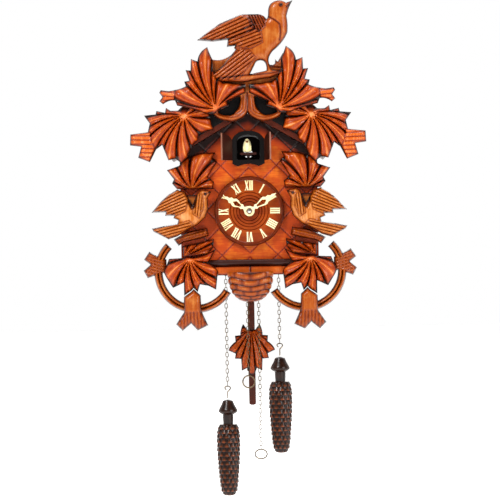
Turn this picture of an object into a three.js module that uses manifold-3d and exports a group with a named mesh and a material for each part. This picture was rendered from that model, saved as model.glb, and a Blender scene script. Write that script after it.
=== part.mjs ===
// A battery cuckoo clock in a carved wooden case.
// Millimetres. +Z is up, the front faces -Y and the wall is the plane Y = 0.
// The origin is the middle of the hanging hole, on the back face of the back panel.
// Fronts are drawn in X and Z, and a depth is a distance in front of the wall, so Y = -depth.

import * as THREE from 'three';
import { mergeVertices } from 'three/addons/utils/BufferGeometryUtils.js';
import Module from 'manifold-3d';

const wasm = await Module();
wasm.setup();

// ---------------------------------------------------------------- driving dimensions

const GAP = 0.3;                   // left between pieces that touch
const RUNNING_GAP = 0.4;           // around what turns or slides

const CASE_WIDTH = 138;
const CASE_HEIGHT = 168;           // roof ridge to the underside of the floor
const CASE_DEPTH = 80;             // wall to the front edge of the side panels
const HANGER_BELOW_RIDGE = 43;
const BOARD = 5;                   // back, side, floor and roof boards
const FRONT_BOARD = 5.7;
const ROOF_SLOPE = THREE.MathUtils.degToRad(30);
const EAVES_OUT = 11;              // roof beyond each side panel
const ROOF_FORWARD = 18;           // roof beyond the side panels' front edge

const HANGER_RADIUS = 4.5;
const SERVICE_DOOR_WIDTH = 80;
const SERVICE_DOOR_HEIGHT = 82;
const SERVICE_DOOR_ABOVE_FLOOR = 13;

const LOW_RELIEF = 11.7;           // carvings glued to the front board
const HIGH_RELIEF = 11.7;          // carvings glued on top of those
const CREST_BOARD = 9.7;
const CREST_BACKING = 5;
const BACKING_FOOT = 40;           // half the backing's width on the roof
const CREST_RELIEF = 12;
const BIRD_RELIEF = 15;
const NEST_RELIEF = 17;

const DIAL_DIAMETER = 70;
const DIAL_ABOVE_FLOOR = 64;
const DIAL_THICKNESS = 4.7;
const DIAL_RIM_WIDTH = 3;
const DIAL_RIM_RISE = 2;
const HOUR_HAND_LENGTH = 30.5;
const MINUTE_HAND_LENGTH = 33;
const HAND_THICKNESS = 1;
const HOUR_HAND_ANGLE = THREE.MathUtils.degToRad(59);      // left of twelve
const MINUTE_HAND_ANGLE = THREE.MathUtils.degToRad(-57);   // right of twelve

const ARBOR_RADIUS = 1.5;
const HOUR_TUBE_RADIUS = 2.8;
const GEAR_MODULE = 0.6;
const MINUTE_PINION_TEETH = 10;
const MOTION_WHEEL_TEETH = 30;
const MOTION_PINION_TEETH = 8;
const HOUR_WHEEL_TEETH = 32;
const GEAR_WIDTH = 2.5;

const HOUSING_WIDTH = 80;
const HOUSING_ABOVE_DIAL = 34;
const HOUSING_WALL = 2;
const BATTERY_DIAMETER = 14.5;
const BATTERY_LENGTH = 50.5;
const BAY_DEPTH_SPARE = 1.5;       // battery bay beyond one cell's diameter
const BAY_HEIGHT_SPARE = 2;        // battery bay beyond two cells' diameters
const SPEAKER_DIAMETER = 50;
const SPEAKER_DEPTH = 14;

const DOORWAY_WIDTH = 23;
const DOORWAY_SILL_BELOW_RIDGE = 52.5;
const DOORWAY_HEIGHT = 25;
const DOOR_FRAME_SIDE = 4.5;
const DOOR_FRAME_TOP = 4;
const DOOR_FRAME_THICKNESS = 6.7;
const DOOR_LEAF_THICKNESS = 1.5;
const DOOR_ARCH_RISE = 6;
const TUNNEL_WALL = 1.5;
const TUNNEL_LENGTH = 36;
const LEFT_DOOR_OPEN = THREE.MathUtils.degToRad(130);
const RIGHT_DOOR_OPEN = THREE.MathUtils.degToRad(110);
const CUCKOO_HEIGHT = 14;
const CUCKOO_WIDTH = 9;
const CUCKOO_LENGTH = 26;
const CUCKOO_OUT = 13;             // beak beyond the front board

const PENDULUM_DEPTH = 21;         // middle of the rod's thickness
const PENDULUM_PIVOT_BELOW_DIAL = 16;
const PENDULUM_ROD_WIDTH = 7;
const PENDULUM_ROD_THICKNESS = 3;
const PENDULUM_ROD_BELOW_FLOOR = 135;
const PENDULUM_LEAF_BELOW_FLOOR = 77;   // middle of the leaf
const PENDULUM_LEAF_THICKNESS = 5;
const PENDULUM_SLOT_WIDTH = 19;
const PENDULUM_SLOT_LENGTH = 13;

const CHAIN_DIAMETER = 3.2;
const CHAIN_INSIDE = 45;           // strand above the underside of the floor
const CHAIN_HOLE_RADIUS = 4.5;
const FALL_BEHIND_HOUSING = 4.7;   // the strands that carry the weights
const TAIL_BEHIND_FALL = 16;       // the strands that end in the pull rings
const LEFT_FALL_X = -25.2;
const LEFT_TAIL_X = -3.5;
const RIGHT_FALL_X = 28.5;
const RIGHT_TAIL_X = 7.8;
const LEFT_FALL_BELOW_FLOOR = 112;
const RIGHT_FALL_BELOW_FLOOR = 69.5;
const LEFT_TAIL_BELOW_FLOOR = 102.5;
const RIGHT_TAIL_BELOW_FLOOR = 179;
const HOOK_WIRE = 1.3;
const HOOK_HEIGHT = 14;
const HOOK_WIDTH = 6;
const RING_DIAMETER = 13.6;
const RING_WIRE = 1.3;
const RIGHT_RING_TILT = THREE.MathUtils.degToRad(44);
const CONE_LENGTH = 98;
const CONE_RADIUS = 12.4;

const HOOP_RADIUS = 37.2;          // middle of the vine's width
const HOOP_WIDTH = 8.3;

// ---------------------------------------------------------------- places worked out from them

const RIDGE_Z = HANGER_BELOW_RIDGE;
const FLOOR_Z = RIDGE_Z - CASE_HEIGHT;
const CASE_HALF = CASE_WIDTH / 2;
const ROOF_DROP = Math.tan(ROOF_SLOPE);
const ROOF_VERTICAL = BOARD / Math.cos(ROOF_SLOPE);
const ROOF_FRONT = CASE_DEPTH + ROOF_FORWARD;
const DIAL_Z = FLOOR_Z + DIAL_ABOVE_FLOOR;
const FRONT_BACK = CASE_DEPTH + GAP;
const FRONT_FACE = FRONT_BACK + FRONT_BOARD;
const LOW_BACK = FRONT_FACE + GAP;
const LOW_FRONT = LOW_BACK + LOW_RELIEF;
const HIGH_BACK = LOW_FRONT + GAP;
const HIGH_FRONT = HIGH_BACK + HIGH_RELIEF;
const CREST_BACK = ROOF_FRONT + GAP;
const CREST_FRONT = CREST_BACK + CREST_BOARD;
const CREST_LEAF_BACK = CREST_FRONT + GAP;
const CREST_LEAF_FRONT = CREST_LEAF_BACK + CREST_RELIEF;
const DIAL_FRONT = LOW_BACK + DIAL_THICKNESS;
const RIM_FRONT = DIAL_FRONT + DIAL_RIM_RISE;
const HOUSING_FRONT = CASE_DEPTH - GAP;
const HOUSING_BACK = HOUSING_FRONT - HOUSING_WALL - BATTERY_DIAMETER - BAY_DEPTH_SPARE;
const PIVOT_Z = DIAL_Z - PENDULUM_PIVOT_BELOW_DIAL;
const FALL_DEPTH = HOUSING_BACK - FALL_BEHIND_HOUSING;
const TAIL_DEPTH = FALL_DEPTH - TAIL_BEHIND_FALL;
const SILL_Z = RIDGE_Z - DOORWAY_SILL_BELOW_RIDGE;

const roofTop = (x) => RIDGE_Z - Math.abs(x) * ROOF_DROP;
const roofUnderside = (x) => roofTop(x) - ROOF_VERTICAL - GAP;

// ---------------------------------------------------------------- materials

const finish = (color, roughness, metalness = 0) => ({ color, roughness, metalness });
const FINISHES = {
  dark_wood: finish(0x2e130b, 0.45),
  front_wood: finish(0xb8501f, 0.4),
  leaf_wood: finish(0x8a3416, 0.35),
  bird_wood: finish(0xb0642a, 0.4),
  dial_wood: finish(0x8f3d1c, 0.4),
  black_plastic: finish(0x1a1614, 0.45),
  grey_plastic: finish(0x3a3a3c, 0.55),
  cream_plastic: finish(0xf1e6b8, 0.45),
  cone_plastic: finish(0x2c1610, 0.3),
  battery_shell: finish(0x39566b, 0.4, 0.3),
  steel: finish(0x9a958c, 0.35, 0.9),
  bronze: finish(0x4a443b, 0.4, 0.85),
};

// ---------------------------------------------------------------- shapes and solids

// Turns a closed geometry into a solid whose shared corners are merged.
function toSolid(geometry) {
  const bare = geometry.index ? geometry.toNonIndexed() : geometry.clone();
  bare.deleteAttribute('normal');
  bare.deleteAttribute('uv');
  const merged = mergeVertices(bare, 1e-4);
  const mesh = new wasm.Mesh({
    numProp: 3,
    vertProperties: new Float32Array(merged.attributes.position.array),
    triVerts: new Uint32Array(merged.index.array),
  });
  return new wasm.Manifold(mesh);
}

function toGeometry(solid) {
  const mesh = solid.getMesh();
  const geometry = new THREE.BufferGeometry();
  geometry.setAttribute('position', new THREE.BufferAttribute(mesh.vertProperties, mesh.numProp));
  geometry.setIndex(new THREE.BufferAttribute(mesh.triVerts, 1));
  return geometry;
}

function join(...geometries) {
  const solids = geometries.map(toSolid);
  return toGeometry(solids.reduce((whole, next) => whole.add(next)));
}

function cut(geometry, ...tools) {
  const solids = tools.map(toSolid);
  return toGeometry(solids.reduce((whole, tool) => whole.subtract(tool), toSolid(geometry)));
}

function keep(geometry, tool) {
  return toGeometry(toSolid(geometry).intersect(toSolid(tool)));
}

// An outline's corners are [x, z]; [cx, cz, x, z] is a curve pulled towards (cx, cz).
function outline(corners) {
  const shape = new THREE.Shape();
  corners.forEach((corner, index) => {
    if (index === 0) shape.moveTo(...corner.slice(-2));
    else if (corner.length === 4) shape.quadraticCurveTo(...corner);
    else shape.lineTo(...corner);
  });
  shape.closePath();
  return shape;
}

const shifted = (corners, dx, dz) => corners.map((c) => c.map((v, i) => v + (i % 2 ? dz : dx)));
const mirrored = (corners) => corners.map((c) => c.map((v, i) => (i % 2 ? v : -v)));
const onSide = (corners, side) => (side < 0 ? corners : mirrored(corners));

// A flat piece with the given front outline, from one depth to another, grown all round by grow.
function plate(shape, back, front, grow = 0) {
  const geometry = new THREE.ExtrudeGeometry(shape, {
    depth: front - back,
    curveSegments: 5,
    bevelEnabled: grow > 0,
    bevelSegments: 0,
    bevelThickness: 0,
    bevelSize: 0,
    bevelOffset: grow,
  });
  geometry.translate(0, 0, back);
  geometry.rotateX(Math.PI / 2);
  return geometry;
}

const rectangle = (x0, x1, z0, z1) => outline([[x0, z0], [x1, z0], [x1, z1], [x0, z1]]);
const block = (x0, x1, back, front, z0, z1) => plate(rectangle(x0, x1, z0, z1), back, front);

// A round piece turned about an axis along Y; its profile is a list of [radius, depth].
function turned(profile, x, z, sides = 24) {
  const points = profile.map(([radius, depth]) => new THREE.Vector2(radius, depth));
  const geometry = new THREE.LatheGeometry(points, sides);
  geometry.rotateX(Math.PI);
  geometry.translate(x, 0, z);
  return geometry;
}

// A round piece that stands upright; its profile is a list of [radius, height].
function upright(profile, x, depth, sides = 20) {
  const points = profile.map(([radius, height]) => new THREE.Vector2(radius, height));
  const geometry = new THREE.LatheGeometry(points, sides);
  geometry.rotateX(Math.PI / 2);
  geometry.translate(x, -depth, 0);
  return geometry;
}

const disc = (radius, back, front, x, z, sides = 24) => turned(
  [[0, back], [radius, back], [radius, front], [0, front]], x, z, sides);

// A wire or tube of the given section that follows points (x, y, z).
function wire(points, diameter, sides, steps, closed = false) {
  const path = new THREE.CatmullRomCurve3(points.map((p) => new THREE.Vector3(...p)), closed);
  const section = new THREE.Shape();
  for (let i = 0; i < sides; i += 1) {
    const angle = (2 * Math.PI * i) / sides;
    const place = [Math.cos(angle) * diameter / 2, Math.sin(angle) * diameter / 2];
    if (i === 0) section.moveTo(...place);
    else section.lineTo(...place);
  }
  section.closePath();
  return new THREE.ExtrudeGeometry(section, { steps, bevelEnabled: false, extrudePath: path });
}

const clock = new THREE.Group();

function add(name, geometry, finishName, group = clock) {
  const mesh = new THREE.Mesh(geometry, new THREE.MeshStandardMaterial(FINISHES[finishName]));
  mesh.name = name;
  group.add(mesh);
  return mesh;
}

// ---------------------------------------------------------------- the case

const gable = (half, base) => outline([
  [-half, base], [half, base], [half, roofUnderside(half)], [0, roofUnderside(0)],
  [-half, roofUnderside(half)],
]);

const SERVICE_BASE = FLOOR_Z + SERVICE_DOOR_ABOVE_FLOOR;
const SERVICE_HALF = SERVICE_DOOR_WIDTH / 2;
add('back_panel', cut(
  plate(gable(CASE_HALF, FLOOR_Z), 0, BOARD),
  disc(HANGER_RADIUS, -1, BOARD + 1, 0, 0, 20),
  block(-SERVICE_HALF, SERVICE_HALF, -1, BOARD + 1, SERVICE_BASE, SERVICE_BASE + SERVICE_DOOR_HEIGHT),
), 'dark_wood');
add('service_door', block(
  -SERVICE_HALF + RUNNING_GAP, SERVICE_HALF - RUNNING_GAP, 0, BOARD,
  SERVICE_BASE + RUNNING_GAP, SERVICE_BASE + SERVICE_DOOR_HEIGHT - RUNNING_GAP,
), 'dark_wood');

const SIDE_INNER = CASE_HALF - BOARD;
const sideBoard = [
  [-CASE_HALF, FLOOR_Z], [-SIDE_INNER, FLOOR_Z],
  [-SIDE_INNER, roofUnderside(SIDE_INNER)], [-CASE_HALF, roofUnderside(CASE_HALF)],
];
for (const [word, side] of [['left', -1], ['right', 1]]) {
  add(`${word}_side_panel`, plate(outline(onSide(sideBoard, side)), BOARD + GAP, CASE_DEPTH), 'dark_wood');
}

const SLOT_HALF = PENDULUM_SLOT_WIDTH / 2;
const SLOT_BACK = PENDULUM_DEPTH - PENDULUM_SLOT_LENGTH / 2;
const strands = [
  ['left_chain_fall', LEFT_FALL_X, FALL_DEPTH, LEFT_FALL_BELOW_FLOOR],
  ['left_chain_tail', LEFT_TAIL_X, TAIL_DEPTH, LEFT_TAIL_BELOW_FLOOR],
  ['right_chain_fall', RIGHT_FALL_X, FALL_DEPTH, RIGHT_FALL_BELOW_FLOOR],
  ['right_chain_tail', RIGHT_TAIL_X, TAIL_DEPTH, RIGHT_TAIL_BELOW_FLOOR],
];
const FLOOR_INNER = SIDE_INNER - GAP;
const chainHole = ([, x, depth]) => upright(
  [[0, FLOOR_Z - 1], [CHAIN_HOLE_RADIUS, FLOOR_Z - 1], [CHAIN_HOLE_RADIUS, FLOOR_Z + BOARD + 1],
    [0, FLOOR_Z + BOARD + 1]], x, depth, 12);
add('floor_board', cut(
  block(-FLOOR_INNER, FLOOR_INNER, BOARD + GAP, CASE_DEPTH, FLOOR_Z, FLOOR_Z + BOARD),
  block(-SLOT_HALF, SLOT_HALF, SLOT_BACK, SLOT_BACK + PENDULUM_SLOT_LENGTH, FLOOR_Z - 1, FLOOR_Z + BOARD + 1),
  ...strands.map(chainHole),
), 'dark_wood');

const EAVES_X = CASE_HALF + EAVES_OUT;
const EAVES_IN = EAVES_X - BOARD * Math.sin(ROOF_SLOPE);
const roofBoard = [
  [-GAP / 2, RIDGE_Z], [-EAVES_X, roofTop(EAVES_X)],
  [-EAVES_IN, roofTop(EAVES_X) - BOARD * Math.cos(ROOF_SLOPE)], [-GAP / 2, RIDGE_Z - ROOF_VERTICAL],
];
for (const [word, side] of [['left', -1], ['right', 1]]) {
  add(`${word}_roof_board`, plate(outline(onSide(roofBoard, side)), 0, ROOF_FRONT), 'dark_wood');
}

// An arched opening or leaf: straight sides up to the springing, then a flat arch.
function arched(x0, x1, base, top, rise) {
  const spring = top - rise;
  const middle = (x0 + x1) / 2;
  return [
    [x0, base], [x1, base], [x1, spring], [x1, top - rise * 0.1, middle, top],
    [x0, top - rise * 0.1, x0, spring],
  ];
}
const DOORWAY_HALF = DOORWAY_WIDTH / 2;
const LINTEL_Z = SILL_Z + DOORWAY_HEIGHT;
const tunnelOutside = outline(arched(
  -DOORWAY_HALF - TUNNEL_WALL, DOORWAY_HALF + TUNNEL_WALL, SILL_Z - TUNNEL_WALL,
  LINTEL_Z + TUNNEL_WALL, DOOR_ARCH_RISE));
const doorway = outline(arched(-DOORWAY_HALF, DOORWAY_HALF, SILL_Z, LINTEL_Z, DOOR_ARCH_RISE));
add('front_panel', cut(
  plate(gable(CASE_HALF, FLOOR_Z), FRONT_BACK, FRONT_FACE),
  plate(tunnelOutside, FRONT_BACK - 1, FRONT_FACE + 1, GAP),
  disc(HOUR_TUBE_RADIUS + 1, FRONT_BACK - 1, FRONT_FACE + 1, 0, DIAL_Z, 16),
), 'front_wood');

// ---------------------------------------------------------------- the cuckoo's doorway

const FRAME_HALF = DOORWAY_HALF + DOOR_FRAME_SIDE;
const FRAME_BASE = SILL_Z - DOOR_FRAME_TOP;
const FRAME_TOP = LINTEL_Z + DOOR_FRAME_TOP;
const FRAME_SPRING = FRAME_TOP - DOOR_ARCH_RISE - 2;
const frameOutside = outline([
  [-FRAME_HALF, FRAME_BASE], [-FRAME_HALF * 0.65, FRAME_BASE - 2.4],
  [0, FRAME_BASE + 2.5, FRAME_HALF * 0.65, FRAME_BASE - 2.4], [FRAME_HALF, FRAME_BASE],
  [FRAME_HALF, FRAME_SPRING], [FRAME_HALF * 0.75, FRAME_TOP, 0, FRAME_TOP],
  [-FRAME_HALF * 0.75, FRAME_TOP, -FRAME_HALF, FRAME_SPRING],
]);
const FRAME_FRONT = LOW_BACK + DOOR_FRAME_THICKNESS;
add('door_frame', cut(
  join(
    plate(frameOutside, LOW_BACK, FRAME_FRONT),
    plate(tunnelOutside, FRAME_FRONT - TUNNEL_LENGTH, FRAME_FRONT),
  ),
  plate(doorway, FRAME_FRONT - TUNNEL_LENGTH - 1, FRAME_FRONT + 1),
), 'black_plastic');

// A leaf is drawn shut, hinge edge at X = 0, and turned open about the hinge.
const LEAF_WIDTH = FRAME_HALF - RUNNING_GAP;
const LEAF_BASE = SILL_Z - 0.5;
const LEAF_HINGE_TOP = FRAME_SPRING - 1;
const leafOutline = [
  [0, LEAF_BASE], [LEAF_WIDTH, LEAF_BASE], [LEAF_WIDTH, LINTEL_Z + 2],
  [LEAF_WIDTH * 0.35, LINTEL_Z + 1.5, 0, LEAF_HINGE_TOP],
];
const HINGE_DEPTH = FRAME_FRONT + RUNNING_GAP;
function doorLeaf(name, side, open) {
  const hinge = new THREE.Group();
  hinge.position.set(side * FRAME_HALF, -HINGE_DEPTH, 0);
  hinge.rotation.z = side * open;
  const leaf = plate(outline(side < 0 ? leafOutline : mirrored(leafOutline)), 0, DOOR_LEAF_THICKNESS);
  add(name, leaf, 'black_plastic', hinge);
  clock.add(hinge);
}
doorLeaf('left_door', -1, LEFT_DOOR_OPEN);
doorLeaf('right_door', 1, RIGHT_DOOR_OPEN);

const SLIDE_TOP = SILL_Z + 7.3;
const SLIDE_THICKNESS = 2.3;
const CUCKOO_FRONT = FRONT_FACE + CUCKOO_OUT;
const CUCKOO_BACK = CUCKOO_FRONT - CUCKOO_LENGTH;
add('cuckoo_slide', join(
  block(-8, 8, FRAME_FRONT - TUNNEL_LENGTH - 6, CUCKOO_FRONT - 6, SLIDE_TOP - SLIDE_THICKNESS, SLIDE_TOP),
  block(-1.5, 1.5, FRAME_FRONT - TUNNEL_LENGTH - 6, FRAME_FRONT - 8, SILL_Z + RUNNING_GAP, SLIDE_TOP - 1),
), 'leaf_wood');
const cuckooSide = [
  [0, 0], [CUCKOO_WIDTH * 0.3, 0], [CUCKOO_WIDTH * 0.62, CUCKOO_HEIGHT * 0.35, CUCKOO_WIDTH * 0.4, CUCKOO_HEIGHT * 0.75],
  [CUCKOO_WIDTH * 0.3, CUCKOO_HEIGHT, 0, CUCKOO_HEIGHT],
  [-CUCKOO_WIDTH * 0.3, CUCKOO_HEIGHT, -CUCKOO_WIDTH * 0.4, CUCKOO_HEIGHT * 0.75],
  [-CUCKOO_WIDTH * 0.62, CUCKOO_HEIGHT * 0.35, -CUCKOO_WIDTH * 0.3, 0],
];
add('cuckoo', plate(
  outline(shifted(cuckooSide, -1, SLIDE_TOP + GAP)), CUCKOO_BACK, CUCKOO_FRONT), 'cream_plastic');

// ---------------------------------------------------------------- dial and hands

const DIAL_RADIUS = DIAL_DIAMETER / 2;
const TUBE_CLEAR = HOUR_TUBE_RADIUS + GAP;
add('dial', turned([
  [TUBE_CLEAR, LOW_BACK], [DIAL_RADIUS, LOW_BACK], [DIAL_RADIUS, RIM_FRONT - 0.6],
  [DIAL_RADIUS - 0.8, RIM_FRONT], [DIAL_RADIUS - DIAL_RIM_WIDTH + 0.8, RIM_FRONT],
  [DIAL_RADIUS - DIAL_RIM_WIDTH, DIAL_FRONT], [TUBE_CLEAR, DIAL_FRONT], [TUBE_CLEAR, LOW_BACK],
], 0, DIAL_Z, 48), 'dial_wood');

const HOUR_BACK = RIM_FRONT + 1;
const MINUTE_BACK = HOUR_BACK + HAND_THICKNESS + 0.9;
function hand(length, boss, hole, back, angle) {
  const blade = outline([
    [-boss * 0.6, boss * 0.5], [-length * 0.12, length * 0.38, -length * 0.13, length * 0.6],
    [-length * 0.1, length * 0.78], [0, length], [length * 0.1, length * 0.78],
    [length * 0.13, length * 0.6], [length * 0.12, length * 0.38, boss * 0.6, boss * 0.5],
  ]);
  const geometry = cut(
    join(plate(blade, back, back + HAND_THICKNESS), disc(boss, back, back + HAND_THICKNESS, 0, 0, 20)),
    disc(hole, back - 1, back + HAND_THICKNESS + 1, 0, 0, 16),
  );
  geometry.rotateY(-angle);
  geometry.translate(0, 0, DIAL_Z);
  return geometry;
}
add('hour_hand', hand(
  HOUR_HAND_LENGTH, 5.5, TUBE_CLEAR, HOUR_BACK, HOUR_HAND_ANGLE), 'cream_plastic');
add('minute_hand', hand(
  MINUTE_HAND_LENGTH, 5, ARBOR_RADIUS + GAP, MINUTE_BACK, MINUTE_HAND_ANGLE), 'cream_plastic');
const NUT_BACK = MINUTE_BACK + HAND_THICKNESS + GAP;
const ARBOR_FRONT = NUT_BACK + 1.6;
add('hand_nut', turned([
  [0, ARBOR_FRONT + GAP], [ARBOR_RADIUS + GAP, ARBOR_FRONT + GAP], [ARBOR_RADIUS + GAP, NUT_BACK],
  [3, NUT_BACK], [3, NUT_BACK + 1.6], [2, NUT_BACK + 3], [0, NUT_BACK + 3.3],
], 0, DIAL_Z, 16), 'steel');

// ---------------------------------------------------------------- the movement

// A gear drawn in X and Z; turn is the angle of its first tooth from the X axis.
function gear(teeth, back, x, z, turn) {
  const pitch = teeth * GEAR_MODULE / 2;
  const tip = pitch + 0.4;
  const root = pitch - 0.55;
  const corners = [];
  for (let i = 0; i < teeth; i += 1) {
    const middle = turn + (2 * Math.PI * i) / teeth;
    const step = (2 * Math.PI) / teeth;
    for (const [radius, share] of [[root, -0.26], [tip, -0.12], [tip, 0.12], [root, 0.26]]) {
      const angle = middle + share * step;
      corners.push([x + radius * Math.cos(angle), z + radius * Math.sin(angle)]);
    }
  }
  return plate(outline(corners), back, back + GEAR_WIDTH);
}

const GEAR_CENTRES = (MINUTE_PINION_TEETH + MOTION_WHEEL_TEETH) * GEAR_MODULE / 2;
const HOUR_GEAR_BACK = HOUSING_FRONT - HOUSING_WALL - 1 - GEAR_WIDTH;
const MINUTE_GEAR_BACK = HOUR_GEAR_BACK - 1 - GEAR_WIDTH;
const COVER_FRONT = HOUSING_BACK + HOUSING_WALL;
const KNOB_FRONT = HOUSING_BACK - 1;
const KNOB_LENGTH = 6;

add('minute_arbor', join(
  disc(ARBOR_RADIUS, KNOB_FRONT + GAP, ARBOR_FRONT, 0, DIAL_Z, 12),
  gear(MINUTE_PINION_TEETH, MINUTE_GEAR_BACK, 0, DIAL_Z, 0),
), 'steel');
add('hour_wheel', cut(
  join(
    disc(HOUR_TUBE_RADIUS, HOUR_GEAR_BACK, HOUR_BACK + HAND_THICKNESS + GAP, 0, DIAL_Z, 16),
    gear(HOUR_WHEEL_TEETH, HOUR_GEAR_BACK, 0, DIAL_Z, 0),
  ),
  disc(ARBOR_RADIUS + GAP, HOUR_GEAR_BACK - 1, MINUTE_BACK, 0, DIAL_Z, 16),
), 'cream_plastic');
add('motion_wheel', join(
  gear(MOTION_WHEEL_TEETH, MINUTE_GEAR_BACK, GEAR_CENTRES, DIAL_Z, Math.PI / MOTION_WHEEL_TEETH),
  gear(MOTION_PINION_TEETH, HOUR_GEAR_BACK, GEAR_CENTRES, DIAL_Z, Math.PI / MOTION_PINION_TEETH),
  disc(GEAR_MODULE * 2, MINUTE_GEAR_BACK, HOUR_GEAR_BACK + GEAR_WIDTH, GEAR_CENTRES, DIAL_Z, 12),
), 'cream_plastic');
add('set_knob', turned([
  [0, KNOB_FRONT - KNOB_LENGTH], [6, KNOB_FRONT - KNOB_LENGTH], [7, KNOB_FRONT - KNOB_LENGTH + 1],
  [7, KNOB_FRONT], [0, KNOB_FRONT],
], 0, DIAL_Z, 20), 'grey_plastic');

const HOUSING_HALF = HOUSING_WIDTH / 2;
const HOUSING_TOP = DIAL_Z + HOUSING_ABOVE_DIAL;
const DIVIDER_TOP = PIVOT_Z;
const HOUSING_BASE = DIVIDER_TOP - 2 * HOUSING_WALL - 2 * BATTERY_DIAMETER - BAY_HEIGHT_SPARE;
const GEAR_ROOM = [-HOUSING_HALF + HOUSING_WALL, HOUSING_HALF - HOUSING_WALL];
const ARM_HALF = 1.2;
const ARM_BACK = PENDULUM_DEPTH + 3;
const PIN_RADIUS = 1.2;
const HANGER_HOLE_RADIUS = PIN_RADIUS + RUNNING_GAP;
add('movement_housing', join(
  cut(
    block(-HOUSING_HALF, HOUSING_HALF, HOUSING_BACK, HOUSING_FRONT, HOUSING_BASE, HOUSING_TOP),
    block(...GEAR_ROOM, HOUSING_BACK - 1, HOUSING_FRONT - HOUSING_WALL, DIVIDER_TOP, HOUSING_TOP - HOUSING_WALL),
    block(...GEAR_ROOM, HOUSING_BACK - 1, HOUSING_FRONT - HOUSING_WALL,
      HOUSING_BASE + HOUSING_WALL, DIVIDER_TOP - HOUSING_WALL),
    disc(HOUR_TUBE_RADIUS + RUNNING_GAP, HOUSING_BACK, HOUSING_FRONT + 1, 0, DIAL_Z, 16),
  ),
  block(-ARM_HALF, ARM_HALF, ARM_BACK, HOUSING_BACK + 3, DIVIDER_TOP - 3, DIVIDER_TOP - 0.2),
  block(-ARM_HALF, ARM_HALF, ARM_BACK, ARM_BACK + 3, PIVOT_Z - 3, PIVOT_Z + 2),
  disc(PIN_RADIUS, PENDULUM_DEPTH - 3, ARM_BACK + 1, 0, PIVOT_Z, 12),
), 'grey_plastic');

// The chains run over two fixed drums behind the battery bay.
const DRUM_Z = FLOOR_Z + CHAIN_INSIDE;
function drum(fallX, tailX) {
  const radius = Math.abs(tailX - fallX) / 2 - CHAIN_DIAMETER / 2 - GAP;
  return disc(radius, TAIL_DEPTH - 5, COVER_FRONT - GAP, (fallX + tailX) / 2, DRUM_Z, 20);
}
const SWITCH_Z = HOUSING_TOP - 8;
const SWITCH_X = 24;
const SWITCH_TRAVEL = 4;
const COVER_HALF = HOUSING_HALF - HOUSING_WALL - GAP;
add('movement_cover', cut(
  join(
    block(-COVER_HALF, COVER_HALF, HOUSING_BACK, COVER_FRONT, DIVIDER_TOP + GAP, HOUSING_TOP - HOUSING_WALL - GAP),
    drum(LEFT_FALL_X, LEFT_TAIL_X),
    drum(RIGHT_FALL_X, RIGHT_TAIL_X),
  ),
  disc(ARBOR_RADIUS + RUNNING_GAP, HOUSING_BACK - 1, COVER_FRONT + 1, 0, DIAL_Z, 12),
  block(-HOUSING_HALF, HOUSING_HALF, HOUSING_BACK, COVER_FRONT + 1, HOUSING_BASE, DIVIDER_TOP + GAP),
  block(SWITCH_X - 3 - SWITCH_TRAVEL, SWITCH_X + 3 + SWITCH_TRAVEL, HOUSING_BACK - 1, COVER_FRONT + 1,
    SWITCH_Z - 2, SWITCH_Z + 2),
), 'grey_plastic');
add('mode_switch', block(
  SWITCH_X - 3 + RUNNING_GAP, SWITCH_X + 3 - RUNNING_GAP, HOUSING_BACK - 2, COVER_FRONT,
  SWITCH_Z - 2 + RUNNING_GAP, SWITCH_Z + 2 - RUNNING_GAP), 'cream_plastic');

const BATTERY_DEPTH = HOUSING_FRONT - HOUSING_WALL - BATTERY_DIAMETER / 2 - GAP;
function battery(x, z) {
  const radius = BATTERY_DIAMETER / 2;
  const half = BATTERY_LENGTH / 2;
  const geometry = new THREE.LatheGeometry([
    [0, -half], [radius, -half], [radius, half - 1.5], [2.7, half - 1.5], [2.7, half], [0, half],
  ].map(([r, y]) => new THREE.Vector2(r, y)), 20);
  geometry.rotateZ(-Math.PI / 2);
  geometry.translate(x, -BATTERY_DEPTH, z);
  return geometry;
}
const BAY_BASE = HOUSING_BASE + HOUSING_WALL;
add('battery_a', battery(0, BAY_BASE + GAP + BATTERY_DIAMETER / 2), 'battery_shell');
add('battery_b', battery(0, BAY_BASE + 2 * GAP + BATTERY_DIAMETER * 1.5), 'battery_shell');

const SPEAKER_RADIUS = SPEAKER_DIAMETER / 2;
const speaker = new THREE.LatheGeometry([
  [0, 0], [SPEAKER_RADIUS, 0], [SPEAKER_RADIUS, 3], [SPEAKER_RADIUS * 0.5, SPEAKER_DEPTH - 5],
  [SPEAKER_RADIUS * 0.5, SPEAKER_DEPTH], [0, SPEAKER_DEPTH],
].map(([r, y]) => new THREE.Vector2(r, y)), 24);
speaker.rotateZ(-Math.PI / 2);
speaker.translate(-SIDE_INNER + GAP, -(BOARD + GAP + SPEAKER_RADIUS + 4), DIAL_Z);
add('speaker', speaker, 'black_plastic');

// ---------------------------------------------------------------- pendulum

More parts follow.
